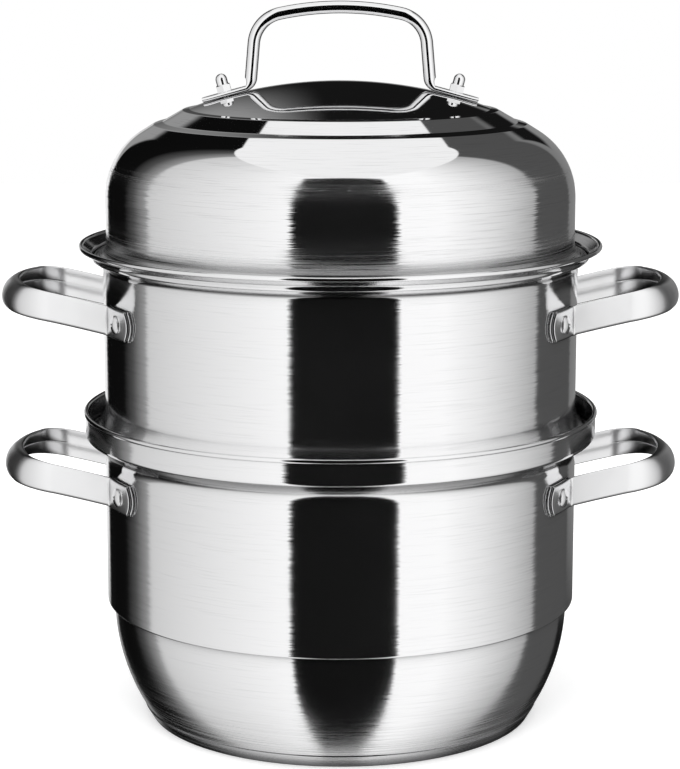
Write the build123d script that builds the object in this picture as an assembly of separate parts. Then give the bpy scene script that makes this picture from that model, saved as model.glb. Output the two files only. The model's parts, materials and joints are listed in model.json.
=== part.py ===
from build123d import *
import math
import os

os.makedirs("parts", exist_ok=True)

# A stovetop steamer pot of polished sheet steel. A deep pot with a capsule base carries a loose
# perforated plate, a steamer tier and a domed lid, each standing in the collar of the one below.
# Millimetres, Z up. The origin is the middle of the base, where it rests on the stove.
# Every shell is spun about Z, so its section is drawn as radius across and height up.

# Pot shell
pot_wall_radius = 140.0
pot_sheet = 1.0
pot_floor_height = 4.6
floor_corner_round = 6.0
step_inset = 4.1
bowl_bend_height = 37.1
bowl_foot_angle = 59.5
bowl_round = 118.0
step_height = 70.7
step_groove_round = 0.8
step_edge_round = 1.3
pot_ledge_angle = 34.3
pot_ledge_bend_height = 163.4
pot_ledge_hollow_round = 9.0
pot_band_overhang = 11.6
pot_band_round = 2.5
pot_band_height = 13.6
pot_lip_bead_radius = 1.4

# Capsule base
cap_sheet = 0.6
cap_edge_inset = 2.15
cap_edge_round = 2.0
seam_height = 7.0
capsule_gap = 0.05

# Steam plate
plate_sheet = 0.8
plate_edge_gap = 3.8
plate_rim_width = 9.0
plate_dish_depth = 3.0
plate_dish_run = 3.0
plate_bend_round = 2.0
plate_rim_bead_radius = 0.8
hole_radius = 4.5
hole_ring_pitch = 22.0
hole_ring_count = 5
holes_per_ring = 6
lift_hole_radius = 9.0

# Steamer tier
tier_wall_inset = 0.3
tier_wall_height = 100.3
tier_sheet = 0.8
tier_foot_bead_radius = 1.0
tier_foot_bend_rise = 11.2
tier_flare_round = 16.0
tier_ledge_angle = 30.0
tier_ledge_hollow_round = 3.5
tier_band_overhang = 6.6
tier_band_round = 2.2
tier_band_height = 2.6
tier_lip_overhang = 7.5
tier_lip_rise = 4.6
tier_lip_bead_radius = 1.4
tier_lip_round = 2.0

# Lid shell
lid_wall_inset = 2.0
lid_wall_height = 34.2
lid_sheet = 0.8
lid_foot_bead_radius = 1.0
lid_foot_bend_rise = 6.5
lid_flare_round = 8.0
lid_shoulder_round = 44.2
lid_shoulder_sweep = 58.0
lid_groove_width = 5.5
lid_groove_angle = 15.0
lid_groove_edge_round = 4.0
lid_ring_inset = 34.2
lid_ring_width = 11.5
lid_ring_angle = 30.0
lid_ring_hollow_round = 4.0
lid_ring_crest_round = 2.5
lid_crest_width = 4.0
lid_crest_angle = 8.0
lid_crease_round = 3.0
lid_dome_radius = 254.5

# Strap handles
strap_height = 17.4
strap_sheet = 1.8
strap_leg_spread = 100.5
strap_leg_reach = 26.5
strap_corner_radius = 23.3
strap_corner_sweep = 66.0
strap_rise = 13.8
strap_rise_bend_share = 0.15
strap_bow_lean = 36.0
strap_crown_at_wall = 0.4
strap_crown_at_bow = 3.0
strap_hem_at_bow = 2.6
strap_edge_round = 0.5
strap_seam_depth = 0.5
strap_seam_width = 1.2
strap_station_count = 25
flange_heel = 0.4
flange_length = 25.0
flange_end_bow = 2.6
backing_sheet = 1.2
backing_margin = 1.0
backing_height = 17.8
pot_handle_drop = 19.1
tier_handle_drop = 27.6

# Handle rivets
rivet_head_radius = 5.3
rivet_head_height = 2.4
rivet_head_edge = 0.8
rivet_shank_radius = 2.5
rivet_inner_head_radius = 4.5
rivet_inner_head_height = 1.2
rivet_inset = 12.2

# Lid handle
grip_rise = 46.4
rod_radius = 3.65
rod_crown_radius = 170.0
rod_crown_inset = 31.4
rod_corner_radius = 19.0
rod_leg_lean = 5.0
rod_bend_radius = 6.5
foot_sheet = 2.8
foot_width = 12.0
foot_edge_share = 0.45
foot_press_length = 6.0
bolt_inset = 21.3
foot_tip_reach = 15.3

# Lid fasteners
screw_radius = 2.5
screw_head_radius = 5.0
screw_head_height = 2.4
screw_head_round = 1.2
screw_end_rise = 5.5
washer_radius = 6.5
washer_sheet = 1.0
nut_across_flats = 8.0
nut_hex_height = 3.6
nut_height = 10.0
nut_dome_radius = 3.7
nut_top_wall = 1.2

# Clearances
seat_gap = 0.3
collar_gap = 0.6
contact_gap = 0.1
hole_gap = 0.05
overrun = 10.0

# Sides on which the doubled pieces stand
left_and_right = {"left": -1, "right": 1}
front_and_back = {"front": -1, "back": 1}


def grade(angle):
    """Height gained for each length run, on a slope of the given degrees."""
    return math.tan(math.radians(angle))


def section(face):
    """Stand a drawn section up, so that its x is the radius and its y the height."""
    return Plane.XZ * face


def spin(face):
    """Spin a drawn section about the pot's axis."""
    return revolve(section(face), Axis.Z)


def bent_sheet(corners, rounds, sheet):
    """Section of a sheet whose outer face runs through the corners, bent to the given rounds."""
    outer = FilletPolyline(*corners, radius=rounds)
    return make_face(offset(outer, amount=sheet, side=Side.LEFT, closed=True))


def bead(radius, height, bead_radius):
    """Round section of a rolled edge."""
    return Pos(radius, height) * Circle(bead_radius)


# Rivets and their holes

strap_spread_half = strap_leg_spread / 2
rivet_offset = strap_spread_half + rivet_inset


def rivet_plane(wall_radius, height, side, end):
    """Frame on a wall's outer face at a rivet, with Z pointing straight out."""
    angle = math.asin(rivet_offset / wall_radius)
    normal = Vector(side * math.cos(angle), end * math.sin(angle), 0)
    return Plane(origin=normal * wall_radius + Vector(0, 0, height), x_dir=(0, 0, 1), z_dir=normal)


def rivet_drill(wall_radius, height, side, end):
    """Round cutter for the hole that a rivet's shank passes through."""
    return rivet_plane(wall_radius, height, side, end) * Cylinder(
        rivet_shank_radius + hole_gap, overrun * 2
    )


def rivet_holes(shell, wall_radius, height):
    """Drill the four rivet holes of a pair of handles through a shell's wall."""
    for side in left_and_right.values():
        for end in front_and_back.values():
            shell -= rivet_drill(wall_radius, height, side, end)
    return shell


def rivet(wall_radius, sheet, height, side, end):
    """Rivet with a button head on the flange and a flat head inside the wall."""
    seat = contact_gap + backing_sheet + contact_gap + strap_sheet + contact_gap
    inner = -sheet - contact_gap
    outline = Polyline(
        (rivet_head_radius, seat + rivet_head_edge),
        (rivet_head_radius, seat),
        (rivet_shank_radius, seat),
        (rivet_shank_radius, inner),
        (rivet_inner_head_radius, inner),
        (rivet_inner_head_radius, inner - rivet_inner_head_height),
        (0, inner - rivet_inner_head_height),
        (0, seat + rivet_head_height),
    )
    crown = SagittaArc(outline @ 1, outline @ 0, -rivet_head_edge)
    body = revolve(section(make_face([outline, crown])), Axis.Z)
    return rivet_plane(wall_radius, height, side, end) * body


# Pot

bowl_radius = pot_wall_radius - step_inset
pot_band_radius = pot_wall_radius + pot_band_overhang
pot_band_foot = pot_ledge_bend_height + pot_band_overhang * grade(pot_ledge_angle)
pot_lip_height = pot_band_foot + pot_band_height
pot_handle_height = pot_ledge_bend_height - pot_handle_drop
pot_floor_radius = bowl_radius - (bowl_bend_height - pot_floor_height) / grade(bowl_foot_angle)
pot_collar_radius = pot_band_radius - pot_sheet


def pot_ledge_top(radius):
    """Height of the inner face of the pot's ledge, where a tier or plate stands."""
    rise = (radius - pot_wall_radius) * grade(pot_ledge_angle)
    return pot_ledge_bend_height + rise + pot_sheet / math.cos(math.radians(pot_ledge_angle))


def pot_shell():
    corners = [
        (0, pot_floor_height),
        (pot_floor_radius, pot_floor_height),
        (bowl_radius, bowl_bend_height),
        (bowl_radius, step_height),
        (pot_wall_radius, step_height),
        (pot_wall_radius, pot_ledge_bend_height),
        (pot_band_radius, pot_band_foot),
        (pot_band_radius, pot_lip_height),
    ]
    rounds = [
        floor_corner_round,
        bowl_round,
        step_groove_round,
        step_edge_round,
        pot_ledge_hollow_round,
        pot_band_round,
    ]
    face = bent_sheet(corners, rounds, pot_sheet)
    face += bead(pot_band_radius - pot_sheet / 2, pot_lip_height, pot_lip_bead_radius)
    return rivet_holes(spin(face), pot_wall_radius, pot_handle_height)


cap_edge_radius = pot_floor_radius - cap_edge_inset
seam_radius = (
    pot_floor_radius
    + (seam_height - pot_floor_height) / grade(bowl_foot_angle)
    + cap_sheet / math.sin(math.radians(bowl_foot_angle))
    + capsule_gap
)


def base_cap():
    corners = [(0, 0), (cap_edge_radius, 0), (seam_radius, seam_height)]
    return spin(bent_sheet(corners, [cap_edge_round], cap_sheet))


def base_core():
    foot = cap_edge_radius - cap_edge_round
    top = foot + (seam_radius - cap_edge_radius) * (pot_floor_height - cap_sheet) / seam_height
    outline = Polyline(
        (0, cap_sheet),
        (foot, cap_sheet),
        (top, pot_floor_height),
        (0, pot_floor_height),
        close=True,
    )
    return spin(make_face(outline))


# Steam plate

plate_radius = pot_collar_radius - plate_edge_gap
plate_rim_height = pot_ledge_top(plate_radius) + seat_gap
plate_bend_radius = plate_radius - plate_rim_width


def steam_plate():
    rim = plate_rim_height
    dish = rim - plate_dish_depth
    bead_middle = plate_radius - plate_rim_bead_radius
    corners = [
        (0, dish),
        (plate_bend_radius - plate_dish_run, dish),
        (plate_bend_radius, rim),
        (bead_middle, rim),
    ]
    face = bent_sheet(corners, [plate_bend_round, plate_bend_round], plate_sheet)
    face += bead(bead_middle, rim + plate_sheet / 2, plate_rim_bead_radius)
    drill = Cylinder(hole_radius, overrun)
    cutters = [Cylinder(lift_hole_radius, overrun)]
    for ring in range(1, hole_ring_count + 1):
        cutters += PolarLocations(ring * hole_ring_pitch, ring * holes_per_ring) * drill
    return spin(face) - [Pos(0, 0, dish) * cutter for cutter in cutters]


# Steamer tier

tier_wall_radius = pot_wall_radius - tier_wall_inset
tier_foot_radius = pot_collar_radius - collar_gap - tier_foot_bead_radius
tier_foot_height = pot_ledge_top(tier_foot_radius) + (seat_gap + tier_foot_bead_radius) / math.cos(
    math.radians(pot_ledge_angle)
)
tier_ledge_bend_height = tier_foot_height + tier_wall_height
tier_handle_height = tier_ledge_bend_height - tier_handle_drop
tier_band_radius = tier_wall_radius + tier_band_overhang
tier_band_foot = tier_ledge_bend_height + tier_band_overhang * grade(tier_ledge_angle)
tier_band_top = tier_band_foot + tier_band_height
tier_lip_radius = tier_band_radius + tier_lip_overhang
tier_lip_height = tier_band_top + tier_lip_rise
tier_collar_radius = tier_band_radius - tier_sheet


def tier_ledge_top(radius):
    """Height of the inner face of the tier's ledge, where the lid stands."""
    rise = (radius - tier_wall_radius) * grade(tier_ledge_angle)
    return tier_ledge_bend_height + rise + tier_sheet / math.cos(math.radians(tier_ledge_angle))


def steamer_shell():
    lip_middle = tier_lip_radius - tier_lip_bead_radius
    corners = [
        (tier_foot_radius, tier_foot_height),
        (tier_wall_radius, tier_foot_height + tier_foot_bend_rise),
        (tier_wall_radius, tier_ledge_bend_height),
        (tier_band_radius, tier_band_foot),
        (tier_band_radius, tier_band_top),
        (lip_middle, tier_lip_height),
    ]
    rounds = [tier_flare_round, tier_ledge_hollow_round, tier_band_round, tier_lip_round]
    face = bent_sheet(corners, rounds, tier_sheet)
    face += bead(lip_middle, tier_lip_height, tier_lip_bead_radius)
    face += bead(tier_foot_radius, tier_foot_height, tier_foot_bead_radius)
    return rivet_holes(spin(face), tier_wall_radius, tier_handle_height)


# Strap handles: a strap bent in a bow, with its ends turned out along the wall as flanges

flange_end = strap_spread_half + flange_length


def flange_inner_radius(wall_radius):
    """Radius of a flange's inner face, which lies on the backing plate."""
    return wall_radius + contact_gap + backing_sheet + contact_gap


def strap_line(wall_radius):
    """Plan of the strap's outer edges, from inside the back flange round to the bow's middle."""
    flange_middle = flange_inner_radius(wall_radius) + strap_sheet / 2
    start = math.sqrt(flange_middle**2 - (strap_spread_half - strap_sheet / 2) ** 2)
    leg = Line((start, strap_spread_half), (wall_radius + strap_leg_reach, strap_spread_half))
    corner = JernArc(leg @ 1, leg % 1, strap_corner_radius, -strap_corner_sweep)
    bow_radius = (corner @ 1).Y / math.cos(math.radians(strap_corner_sweep))
    bow = JernArc(corner @ 1, corner % 1, bow_radius, strap_corner_sweep - 90)
    return Wire([leg, corner, bow])


def strap_section(crown, hem):
    """Section of the strap: crowned outside, hemmed edges and a seam along the inner face."""
    half = strap_height / 2
    edge = half - strap_edge_round
    seam = strap_seam_width / 2
    return make_face([
        ThreePointArc((0, -edge), (crown, 0), (0, edge)),
        ThreePointArc((0, edge), (-hem / 2, half), (-hem, edge)),
        Line((-hem, edge), (-hem, seam)),
        ThreePointArc((-hem, seam), (strap_seam_depth - hem, 0), (-hem, -seam)),
        Line((-hem, -seam), (-hem, -edge)),
        ThreePointArc((-hem, -edge), (-hem / 2, -half), (0, -edge)),
    ])


def strap_stations(wall_radius, height):
    """Sections of the strap along its bow, which rises away from the wall and leans in."""
    line = strap_line(wall_radius)
    start = line @ 0
    reach = (line @ 1).X - start.X
    half_count = strap_station_count // 2
    stations = []
    for step in range(-half_count, half_count + 1):
        share = 1 - abs(step) / half_count
        end = -1 if step > 0 else 1
        place = line @ share
        heading = line % share
        bow_share = math.degrees(math.acos(heading.X)) / 90
        run_share = (place.X - start.X) / reach
        climb = (1 + strap_rise_bend_share) * run_share - strap_rise_bend_share * run_share**2
        out = Vector(-heading.Y, end * heading.X, 0)
        lean = math.radians(strap_bow_lean * bow_share)
        leaning_out = out * math.cos(lean) + Vector(0, 0, math.sin(lean))
        origin = Vector(place.X, end * place.Y, height + strap_rise * climb)
        frame = Plane(origin=origin, x_dir=leaning_out, z_dir=out.cross(Vector(0, 0, 1)))
        crown = strap_crown_at_wall + (strap_crown_at_bow - strap_crown_at_wall) * bow_share
        hem = strap_sheet + (strap_hem_at_bow - strap_sheet) * bow_share
        stations.append(frame * strap_section(crown, hem))
    return stations


def wall_patch(inner_radius, sheet, near, far, tall, height, end):
    """Plate curved round a wall, with a bowed outer end, lying off to one side of a handle."""
    half = tall / 2
    outline = make_face([
        Line((end * far, half), (end * near, half)),
        Line((end * near, half), (end * near, -half)),
        Line((end * near, -half), (end * far, -half)),
        ThreePointArc((end * far, -half), (end * (far + flange_end_bow), 0), (end * far, half)),
    ])
    reach = inner_radius + sheet + overrun
    block = extrude(Plane.YZ * outline, amount=reach)
    tube = Cylinder(inner_radius + sheet, tall) - Cylinder(inner_radius, tall)
    return Pos(0, 0, height) * (block & tube)


def turned(piece, side):
    """A handle's piece is drawn on the right, and turned half round for the left."""
    return piece if side > 0 else piece.rotate(Axis.Z, 180)


def strap_handle(wall_radius, height, side):
    strap = loft(strap_stations(wall_radius, height))
    inner = flange_inner_radius(wall_radius)
    near = strap_spread_half - strap_sheet - flange_heel
    for end in front_and_back.values():
        strap += wall_patch(inner, strap_sheet, near, flange_end, strap_height, height, end)
        strap -= rivet_drill(wall_radius, height, 1, end)
    return turned(strap, side)


def backing_plate(wall_radius, height, side, end):
    near = strap_spread_half - strap_sheet - backing_margin
    far = flange_end + backing_margin
    inner = wall_radius + contact_gap
    plate = wall_patch(inner, backing_sheet, near, far, backing_height, height, side * end)
    plate -= rivet_drill(wall_radius, height, 1, side * end)
    return turned(plate, side)


# Lid

lid_wall_radius = tier_wall_radius - lid_wall_inset
lid_ring_foot_radius = lid_wall_radius - lid_ring_inset
lid_ring_top_radius = lid_ring_foot_radius - lid_ring_width
lid_groove_radius = lid_ring_foot_radius + lid_groove_width
lid_crest_radius = lid_ring_top_radius - lid_crest_width
bolt_circle_radius = lid_crest_radius - bolt_inset
lid_foot_radius = tier_collar_radius - collar_gap - lid_foot_bead_radius
lid_foot_height = tier_ledge_top(lid_foot_radius) + (seat_gap + lid_foot_bead_radius) / math.cos(
    math.radians(tier_ledge_angle)
)
lid_shoulder_height = lid_foot_height + lid_wall_height
shoulder_lean = math.radians(lid_shoulder_sweep)
shoulder_top_radius = lid_wall_radius - lid_shoulder_round * (1 - math.cos(shoulder_lean))
shoulder_top_height = lid_shoulder_height + lid_shoulder_round * math.sin(shoulder_lean)
shoulder_corner_height = lid_shoulder_height + lid_shoulder_round * math.tan(shoulder_lean / 2)
lid_groove_height = shoulder_top_height + (shoulder_top_radius - lid_groove_radius) / grade(
    lid_shoulder_sweep
)
lid_ring_foot_height = lid_groove_height + lid_groove_width * grade(lid_groove_angle)
lid_ring_top_height = lid_ring_foot_height + lid_ring_width * grade(lid_ring_angle)
lid_crest_height = lid_ring_top_height + lid_crest_width * grade(lid_crest_angle)
dome_centre_height = lid_crest_height - math.sqrt(lid_dome_radius**2 - lid_crest_radius**2)


def dome_height(radius):
    """Height of the outer face of the lid's dome."""
    return dome_centre_height + math.sqrt(lid_dome_radius**2 - radius**2)


def lid_section():
    """One bent sheet: foot, wall, shoulder, a shallow groove, the ring and its crest, then the dome."""
    corners = [
        (lid_foot_radius, lid_foot_height),
        (lid_wall_radius, lid_foot_height + lid_foot_bend_rise),
        (lid_wall_radius, shoulder_corner_height),
        (lid_groove_radius, lid_groove_height),
        (lid_ring_foot_radius, lid_ring_foot_height),
        (lid_ring_top_radius, lid_ring_top_height),
        (lid_crest_radius, lid_crest_height),
    ]
    rounds = [
        lid_flare_round,
        lid_shoulder_round,
        lid_groove_edge_round,
        lid_ring_hollow_round,
        lid_ring_crest_round,
    ]
    side = FilletPolyline(*corners, radius=rounds)
    middle = lid_crest_radius / 2
    dome = ThreePointArc(corners[-1], (middle, dome_height(middle)), (0, dome_height(0)))
    outer = Curve() + side + dome
    crease = outer.vertices().sort_by_distance(corners[-1])[0]
    outer = fillet(crease, lid_crease_round)
    face = make_face(offset(outer, amount=lid_sheet, side=Side.LEFT, closed=True))
    return face + bead(lid_foot_radius, lid_foot_height, lid_foot_bead_radius)


bolt_lean = math.degrees(math.asin(bolt_circle_radius / lid_dome_radius))


def bolt_plane(side):
    """Frame on the dome at a lid bolt: Z square to the dome, X running down it, outwards."""
    lean = math.radians(bolt_lean)
    origin = Vector(side * bolt_circle_radius, 0, dome_height(bolt_circle_radius))
    outward = Vector(side * math.cos(lean), 0, -math.sin(lean))
    normal = Vector(side * math.sin(lean), 0, math.cos(lean))
    return Plane(origin=origin, x_dir=outward, z_dir=normal)


def lid_shell():
    lid = spin(lid_section())
    for side in left_and_right.values():
        lid -= bolt_plane(side) * Cylinder(screw_radius + hole_gap, overrun * 2)
    return lid


# Lid handle: a bent rod, drawn on the right and mirrored, with its ends pressed flat as feet

grip_top_height = dome_height(0) + grip_rise
foot_end_radius = bolt_circle_radius + foot_tip_reach
rod_crown_half_width = bolt_circle_radius - rod_crown_inset
rod_crown_sweep = math.degrees(math.asin(rod_crown_half_width / rod_crown_radius))


def grip_half():
    """Line of the right half of the rod, from the middle of the crown to the end of the bend."""
    crown = JernArc((0, grip_top_height - rod_radius), (1, 0), rod_crown_radius, -rod_crown_sweep)
    corner_sweep = 90 - rod_leg_lean - rod_crown_sweep
    corner = JernArc(crown @ 1, crown % 1, rod_corner_radius, -corner_sweep)
    bolt = bolt_plane(1)
    rod_seat = bolt.origin + bolt.z_dir * (contact_gap + rod_radius)
    seat = Vector(rod_seat.X, rod_seat.Z)
    foot_way = Vector(bolt.x_dir.X, bolt.x_dir.Z)
    leg_way = corner % 1
    gap = seat - corner @ 1
    leg_to_knee = gap.cross(foot_way).Z / leg_way.cross(foot_way).Z
    knee = corner @ 1 + leg_way * leg_to_knee
    bend_sweep = 90 - rod_leg_lean - bolt_lean
    bend_run = rod_bend_radius * grade(bend_sweep / 2)
    leg = Line(corner @ 1, knee - leg_way * bend_run)
    bend = JernArc(leg @ 1, leg_way, rod_bend_radius, bend_sweep)
    return Plane.XZ * (Curve() + [crown, corner, leg, bend])


def lid_foot(rod_end):
    """Pressed end of the rod: round at the bend, then flat, with a rounded tip and a bolt hole."""
    bolt = bolt_plane(1)
    start = bolt.to_local_coords(rod_end)
    flat_start = start.X + foot_press_length
    flat_end = (foot_end_radius - bolt_circle_radius) / math.cos(math.radians(bolt_lean))
    middle = contact_gap + foot_sheet / 2
    round_face = Plane(origin=(start.X, 0, start.Z), x_dir=(0, 1, 0), z_dir=(1, 0, 0)) * Circle(
        rod_radius
    )
    flat_face = Plane(origin=(flat_start, 0, middle), x_dir=(0, 1, 0), z_dir=(1, 0, 0)) * (
        RectangleRounded(foot_width, foot_sheet, foot_sheet * foot_edge_share)
    )
    pressed = loft([round_face, flat_face])
    flat = extrude(flat_face, amount=flat_end - flat_start)
    tip = Pos(flat_end - foot_width / 2, 0, 0) * Cylinder(foot_width / 2, overrun)
    square = Pos(flat_end - foot_width / 2, 0, 0) * Box(
        foot_width, foot_width + overrun, overrun, align=(Align.MIN, Align.CENTER, Align.CENTER)
    )
    foot = pressed + flat - (square - tip)
    return bolt * (foot - Cylinder(screw_radius + hole_gap, overrun))


def lid_handle():
    line = grip_half().wire()
    rod_face = Plane.YZ * Pos(0, grip_top_height - rod_radius) * Circle(rod_radius)
    half = sweep(rod_face, path=line) + lid_foot(line @ 1)
    return half + mirror(half, Plane.YZ)


# Lid fasteners

def lid_screw(side):
    under = -lid_sheet - contact_gap - washer_sheet - contact_gap
    end = contact_gap + foot_sheet + contact_gap + screw_end_rise
    shank = Pos(0, 0, under) * Cylinder(
        screw_radius, end - under, align=(Align.CENTER, Align.CENTER, Align.MIN)
    )
    head = Pos(0, 0, under) * Cylinder(
        screw_head_radius, screw_head_height, align=(Align.CENTER, Align.CENTER, Align.MAX)
    )
    head = fillet(head.edges().sort_by(Axis.Z)[0], screw_head_round)
    return bolt_plane(side) * (shank + head)


def lid_washer(side):
    ring = Cylinder(washer_radius, washer_sheet) - Cylinder(screw_radius + hole_gap, washer_sheet)
    return bolt_plane(side) * Pos(0, 0, -lid_sheet - contact_gap - washer_sheet / 2) * ring


def cap_nut(side):
    """Hexagon nut closed by a dome, with a blind bore for the screw's end."""
    seat = contact_gap + foot_sheet + contact_gap
    hexagon = extrude(RegularPolygon(nut_across_flats / 2, 6, major_radius=False), nut_hex_height)
    neck = nut_height - nut_dome_radius
    dome = Cylinder(nut_dome_radius, neck, align=(Align.CENTER, Align.CENTER, Align.MIN))
    dome += Pos(0, 0, neck) * Sphere(nut_dome_radius)
    bore = Cylinder(
        screw_radius + hole_gap,
        nut_height - nut_top_wall,
        align=(Align.CENTER, Align.CENTER, Align.MIN),
    )
    return bolt_plane(side) * Pos(0, 0, seat) * (hexagon + dome - bore)


# Every piece by the name of its node

def all_pieces():
    pieces = {
        "pot_shell": pot_shell(),
        "base_cap": base_cap(),
        "base_core": base_core(),
        "steam_plate": steam_plate(),
        "steamer_shell": steamer_shell(),
        "lid_shell": lid_shell(),
        "lid_handle": lid_handle(),
    }
    walls = {
        "pot": (pot_wall_radius, pot_sheet, pot_handle_height),
        "steamer": (tier_wall_radius, tier_sheet, tier_handle_height),
    }
    for side_name, side in left_and_right.items():
        pieces[f"lid_screw_{side_name}"] = lid_screw(side)
        pieces[f"lid_washer_{side_name}"] = lid_washer(side)
        pieces[f"lid_cap_nut_{side_name}"] = cap_nut(side)
        for tier, (wall, sheet, height) in walls.items():
            pieces[f"{tier}_handle_{side_name}"] = strap_handle(wall, height, side)
            for end_name, end in front_and_back.items():
                place = f"{side_name}_{end_name}"
                pieces[f"{tier}_backing_{place}"] = backing_plate(wall, height, side, end)
                pieces[f"{tier}_rivet_{place}"] = rivet(wall, sheet, height, side, end)
    return pieces


for node, piece in all_pieces().items():
    piece.label = node
    export_step(piece, f"parts/{node}.step")
    print(node, round(piece.volume), len(piece.solids()), piece.is_valid)
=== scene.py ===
# %% [markdown]
# # A steamer pot in polished steel
# This lesson dresses a two-tier steamer pot: a deep pot, a steamer tier and a domed lid, all of
# polished sheet steel, with strap handles riveted to the walls and a bent rod grip on the lid.
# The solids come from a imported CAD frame. Mirror polish shows every facet of a mesh, so all that
# shows from outside is built again here, finer and with exact normals, on the sizes of the frame.
# The steam plate, the base's core and the lid's screws and washers stay as the CAD made them.

# %% Load the frame and measure it
import bpy
import json
import math
from mathutils import Matrix, Vector

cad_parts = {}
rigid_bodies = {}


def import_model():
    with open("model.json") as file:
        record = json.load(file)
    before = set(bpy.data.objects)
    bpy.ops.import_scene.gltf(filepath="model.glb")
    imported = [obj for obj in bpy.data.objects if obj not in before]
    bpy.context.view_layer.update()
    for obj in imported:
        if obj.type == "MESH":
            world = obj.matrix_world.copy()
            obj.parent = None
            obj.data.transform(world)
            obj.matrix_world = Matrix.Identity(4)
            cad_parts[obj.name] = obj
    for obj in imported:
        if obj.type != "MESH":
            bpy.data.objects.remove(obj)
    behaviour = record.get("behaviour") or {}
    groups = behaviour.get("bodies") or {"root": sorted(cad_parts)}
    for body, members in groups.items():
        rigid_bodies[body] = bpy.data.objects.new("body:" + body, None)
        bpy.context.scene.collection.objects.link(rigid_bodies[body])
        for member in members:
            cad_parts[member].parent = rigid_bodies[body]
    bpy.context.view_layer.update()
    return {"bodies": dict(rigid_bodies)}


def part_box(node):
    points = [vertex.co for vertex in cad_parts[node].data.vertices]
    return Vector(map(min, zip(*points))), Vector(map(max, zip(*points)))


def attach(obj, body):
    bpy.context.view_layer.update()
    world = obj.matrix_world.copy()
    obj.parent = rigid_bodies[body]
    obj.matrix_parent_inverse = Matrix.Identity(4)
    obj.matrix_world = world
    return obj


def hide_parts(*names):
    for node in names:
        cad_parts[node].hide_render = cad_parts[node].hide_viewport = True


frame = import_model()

mm = 0.001
bodies = list(frame["bodies"])
print("bodies:", bodies)

# %% [markdown]
# ## Sections as runs
# A drawn or rolled sheet is one section, spun round the pot's axis. Blender's Screw modifier could
# spin it, but its averaged normals smear a highlight over the long flat walls beside a tight bend.
# So a section is kept as runs, straight or round, where each point carries its own normal. The
# spin then hands these normals to the mesh, and the reflections bend only where the metal does.

# %% Points of straight and round runs
bend_step = math.radians(6)
longest_chord = 2.5 * mm


def straight(start, end):
    """A straight run with the normal on its right-hand side."""
    way = (end - start).normalized()
    normal = Vector((way.y, -way.x))
    return [(start, normal), (end, normal)]


def round_run(centre, radius, first, last, outward=1):
    """A round run between two angles, in radians, with normals away from or to its centre."""
    step = min(bend_step, longest_chord / radius)
    count = max(2, math.ceil(abs(last - first) / step))
    run = []
    for index in range(count + 1):
        angle = first + (last - first) * index / count
        spoke = Vector((math.cos(angle), math.sin(angle)))
        run.append((centre + spoke * radius, spoke * outward))
    return run


def bent_line(corners, rounds):
    """Runs of a line through the corners, with each inner corner rounded."""
    corners = [Vector(corner) * mm for corner in corners]
    runs = []
    start = corners[0]
    for before, corner, after, radius in zip(corners, corners[1:], corners[2:], rounds):
        radius *= mm
        way_in = (corner - before).normalized()
        way_out = (after - corner).normalized()
        turn = math.atan2(way_in.x * way_out.y - way_in.y * way_out.x, way_in.dot(way_out))
        setback = radius * math.tan(abs(turn) / 2)
        left = Vector((-way_in.y, way_in.x)) * math.copysign(1, turn)
        centre = corner - way_in * setback + left * radius
        first = math.atan2(-left.y, -left.x)
        runs.append(straight(start, corner - way_in * setback))
        runs.append(round_run(centre, radius, first, first + turn, math.copysign(1, turn)))
        start = corner + way_out * setback
    runs.append(straight(start, corners[-1]))
    return runs


print("a square corner rounded:", len(bent_line([(0, 0), (9, 0), (9, 9)], [3])[1]), "points")

# %% [markdown]
# ## Sheet with rolled edges
# The lips and feet of a steamer are rolled into small beads, which keep the thin sheet round and
# safe to hold. Each bead is one round run between the sheet's outer and inner face.

# %% From a line to a sheet
def thickened(runs, sheet):
    """The inner face of a sheet, walked backwards, from the runs of its outer face."""
    inner = [[(point - normal * sheet, -normal) for point, normal in run] for run in runs]
    return [run[::-1] for run in inner[::-1]]


def shortened(run, amount, at_end):
    """A straight run with one end pulled back."""
    (first, normal), (last, _) = run
    way = (last - first).normalized() * amount
    return [(first, normal), (last - way, normal)] if at_end else [(first + way, normal), (last, normal)]


def beaded_sheet(runs, sheet, foot_bead=None, lip_bead=None):
    """Closed section of a sheet. A bead is (radius, depth of its centre under the outer face)."""
    sheet *= mm
    outer, inner = list(runs), thickened(runs, sheet)
    caps = {}
    for name, bead in (("lip", lip_bead), ("foot", foot_bead)):
        at_lip = name == "lip"
        if bead is None:
            continue
        radius, depth = bead[0] * mm, bead[1] * mm
        point, normal = outer[-1][-1] if at_lip else outer[0][0]
        along = Vector((-normal.y, normal.x)) * (1 if at_lip else -1)
        outer_back = math.sqrt(radius**2 - depth**2)
        inner_back = math.sqrt(radius**2 - (sheet - depth) ** 2)
        centre = point - normal * depth
        swing = 1 if at_lip else -1
        zero = math.atan2(normal.y, normal.x)
        outer_angle = -math.asin(outer_back / radius)
        inner_angle = math.pi + math.asin(inner_back / radius)
        run = round_run(centre, radius, zero + swing * outer_angle, zero + swing * inner_angle)
        if at_lip:
            outer[-1] = shortened(outer[-1], outer_back, True)
            inner[0] = shortened(inner[0], inner_back, False)
            caps["lip"] = run
        else:
            outer[0] = shortened(outer[0], outer_back, False)
            inner[-1] = shortened(inner[-1], inner_back, True)
            caps["foot"] = run[::-1]
        print(f"{name} bead of radius {bead[0]} mm, its centre at height {centre.y / mm:.1f} mm")
    section = list(outer)
    section.append(caps["lip"] if "lip" in caps else straight(outer[-1][-1][0], inner[0][0][0]))
    section += inner
    if "foot" in caps:
        section.append(caps["foot"])
    return section


# %% [markdown]
# ## Spinning a section
# The rings of vertices are shared by neighbouring runs, so the mesh stays closed, while each face
# corner keeps the normal of its own run.

# %% Spin a section into a mesh
turns = 240
closing_gap = 0.01 * mm
pole_radius = 0.001 * mm


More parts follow.
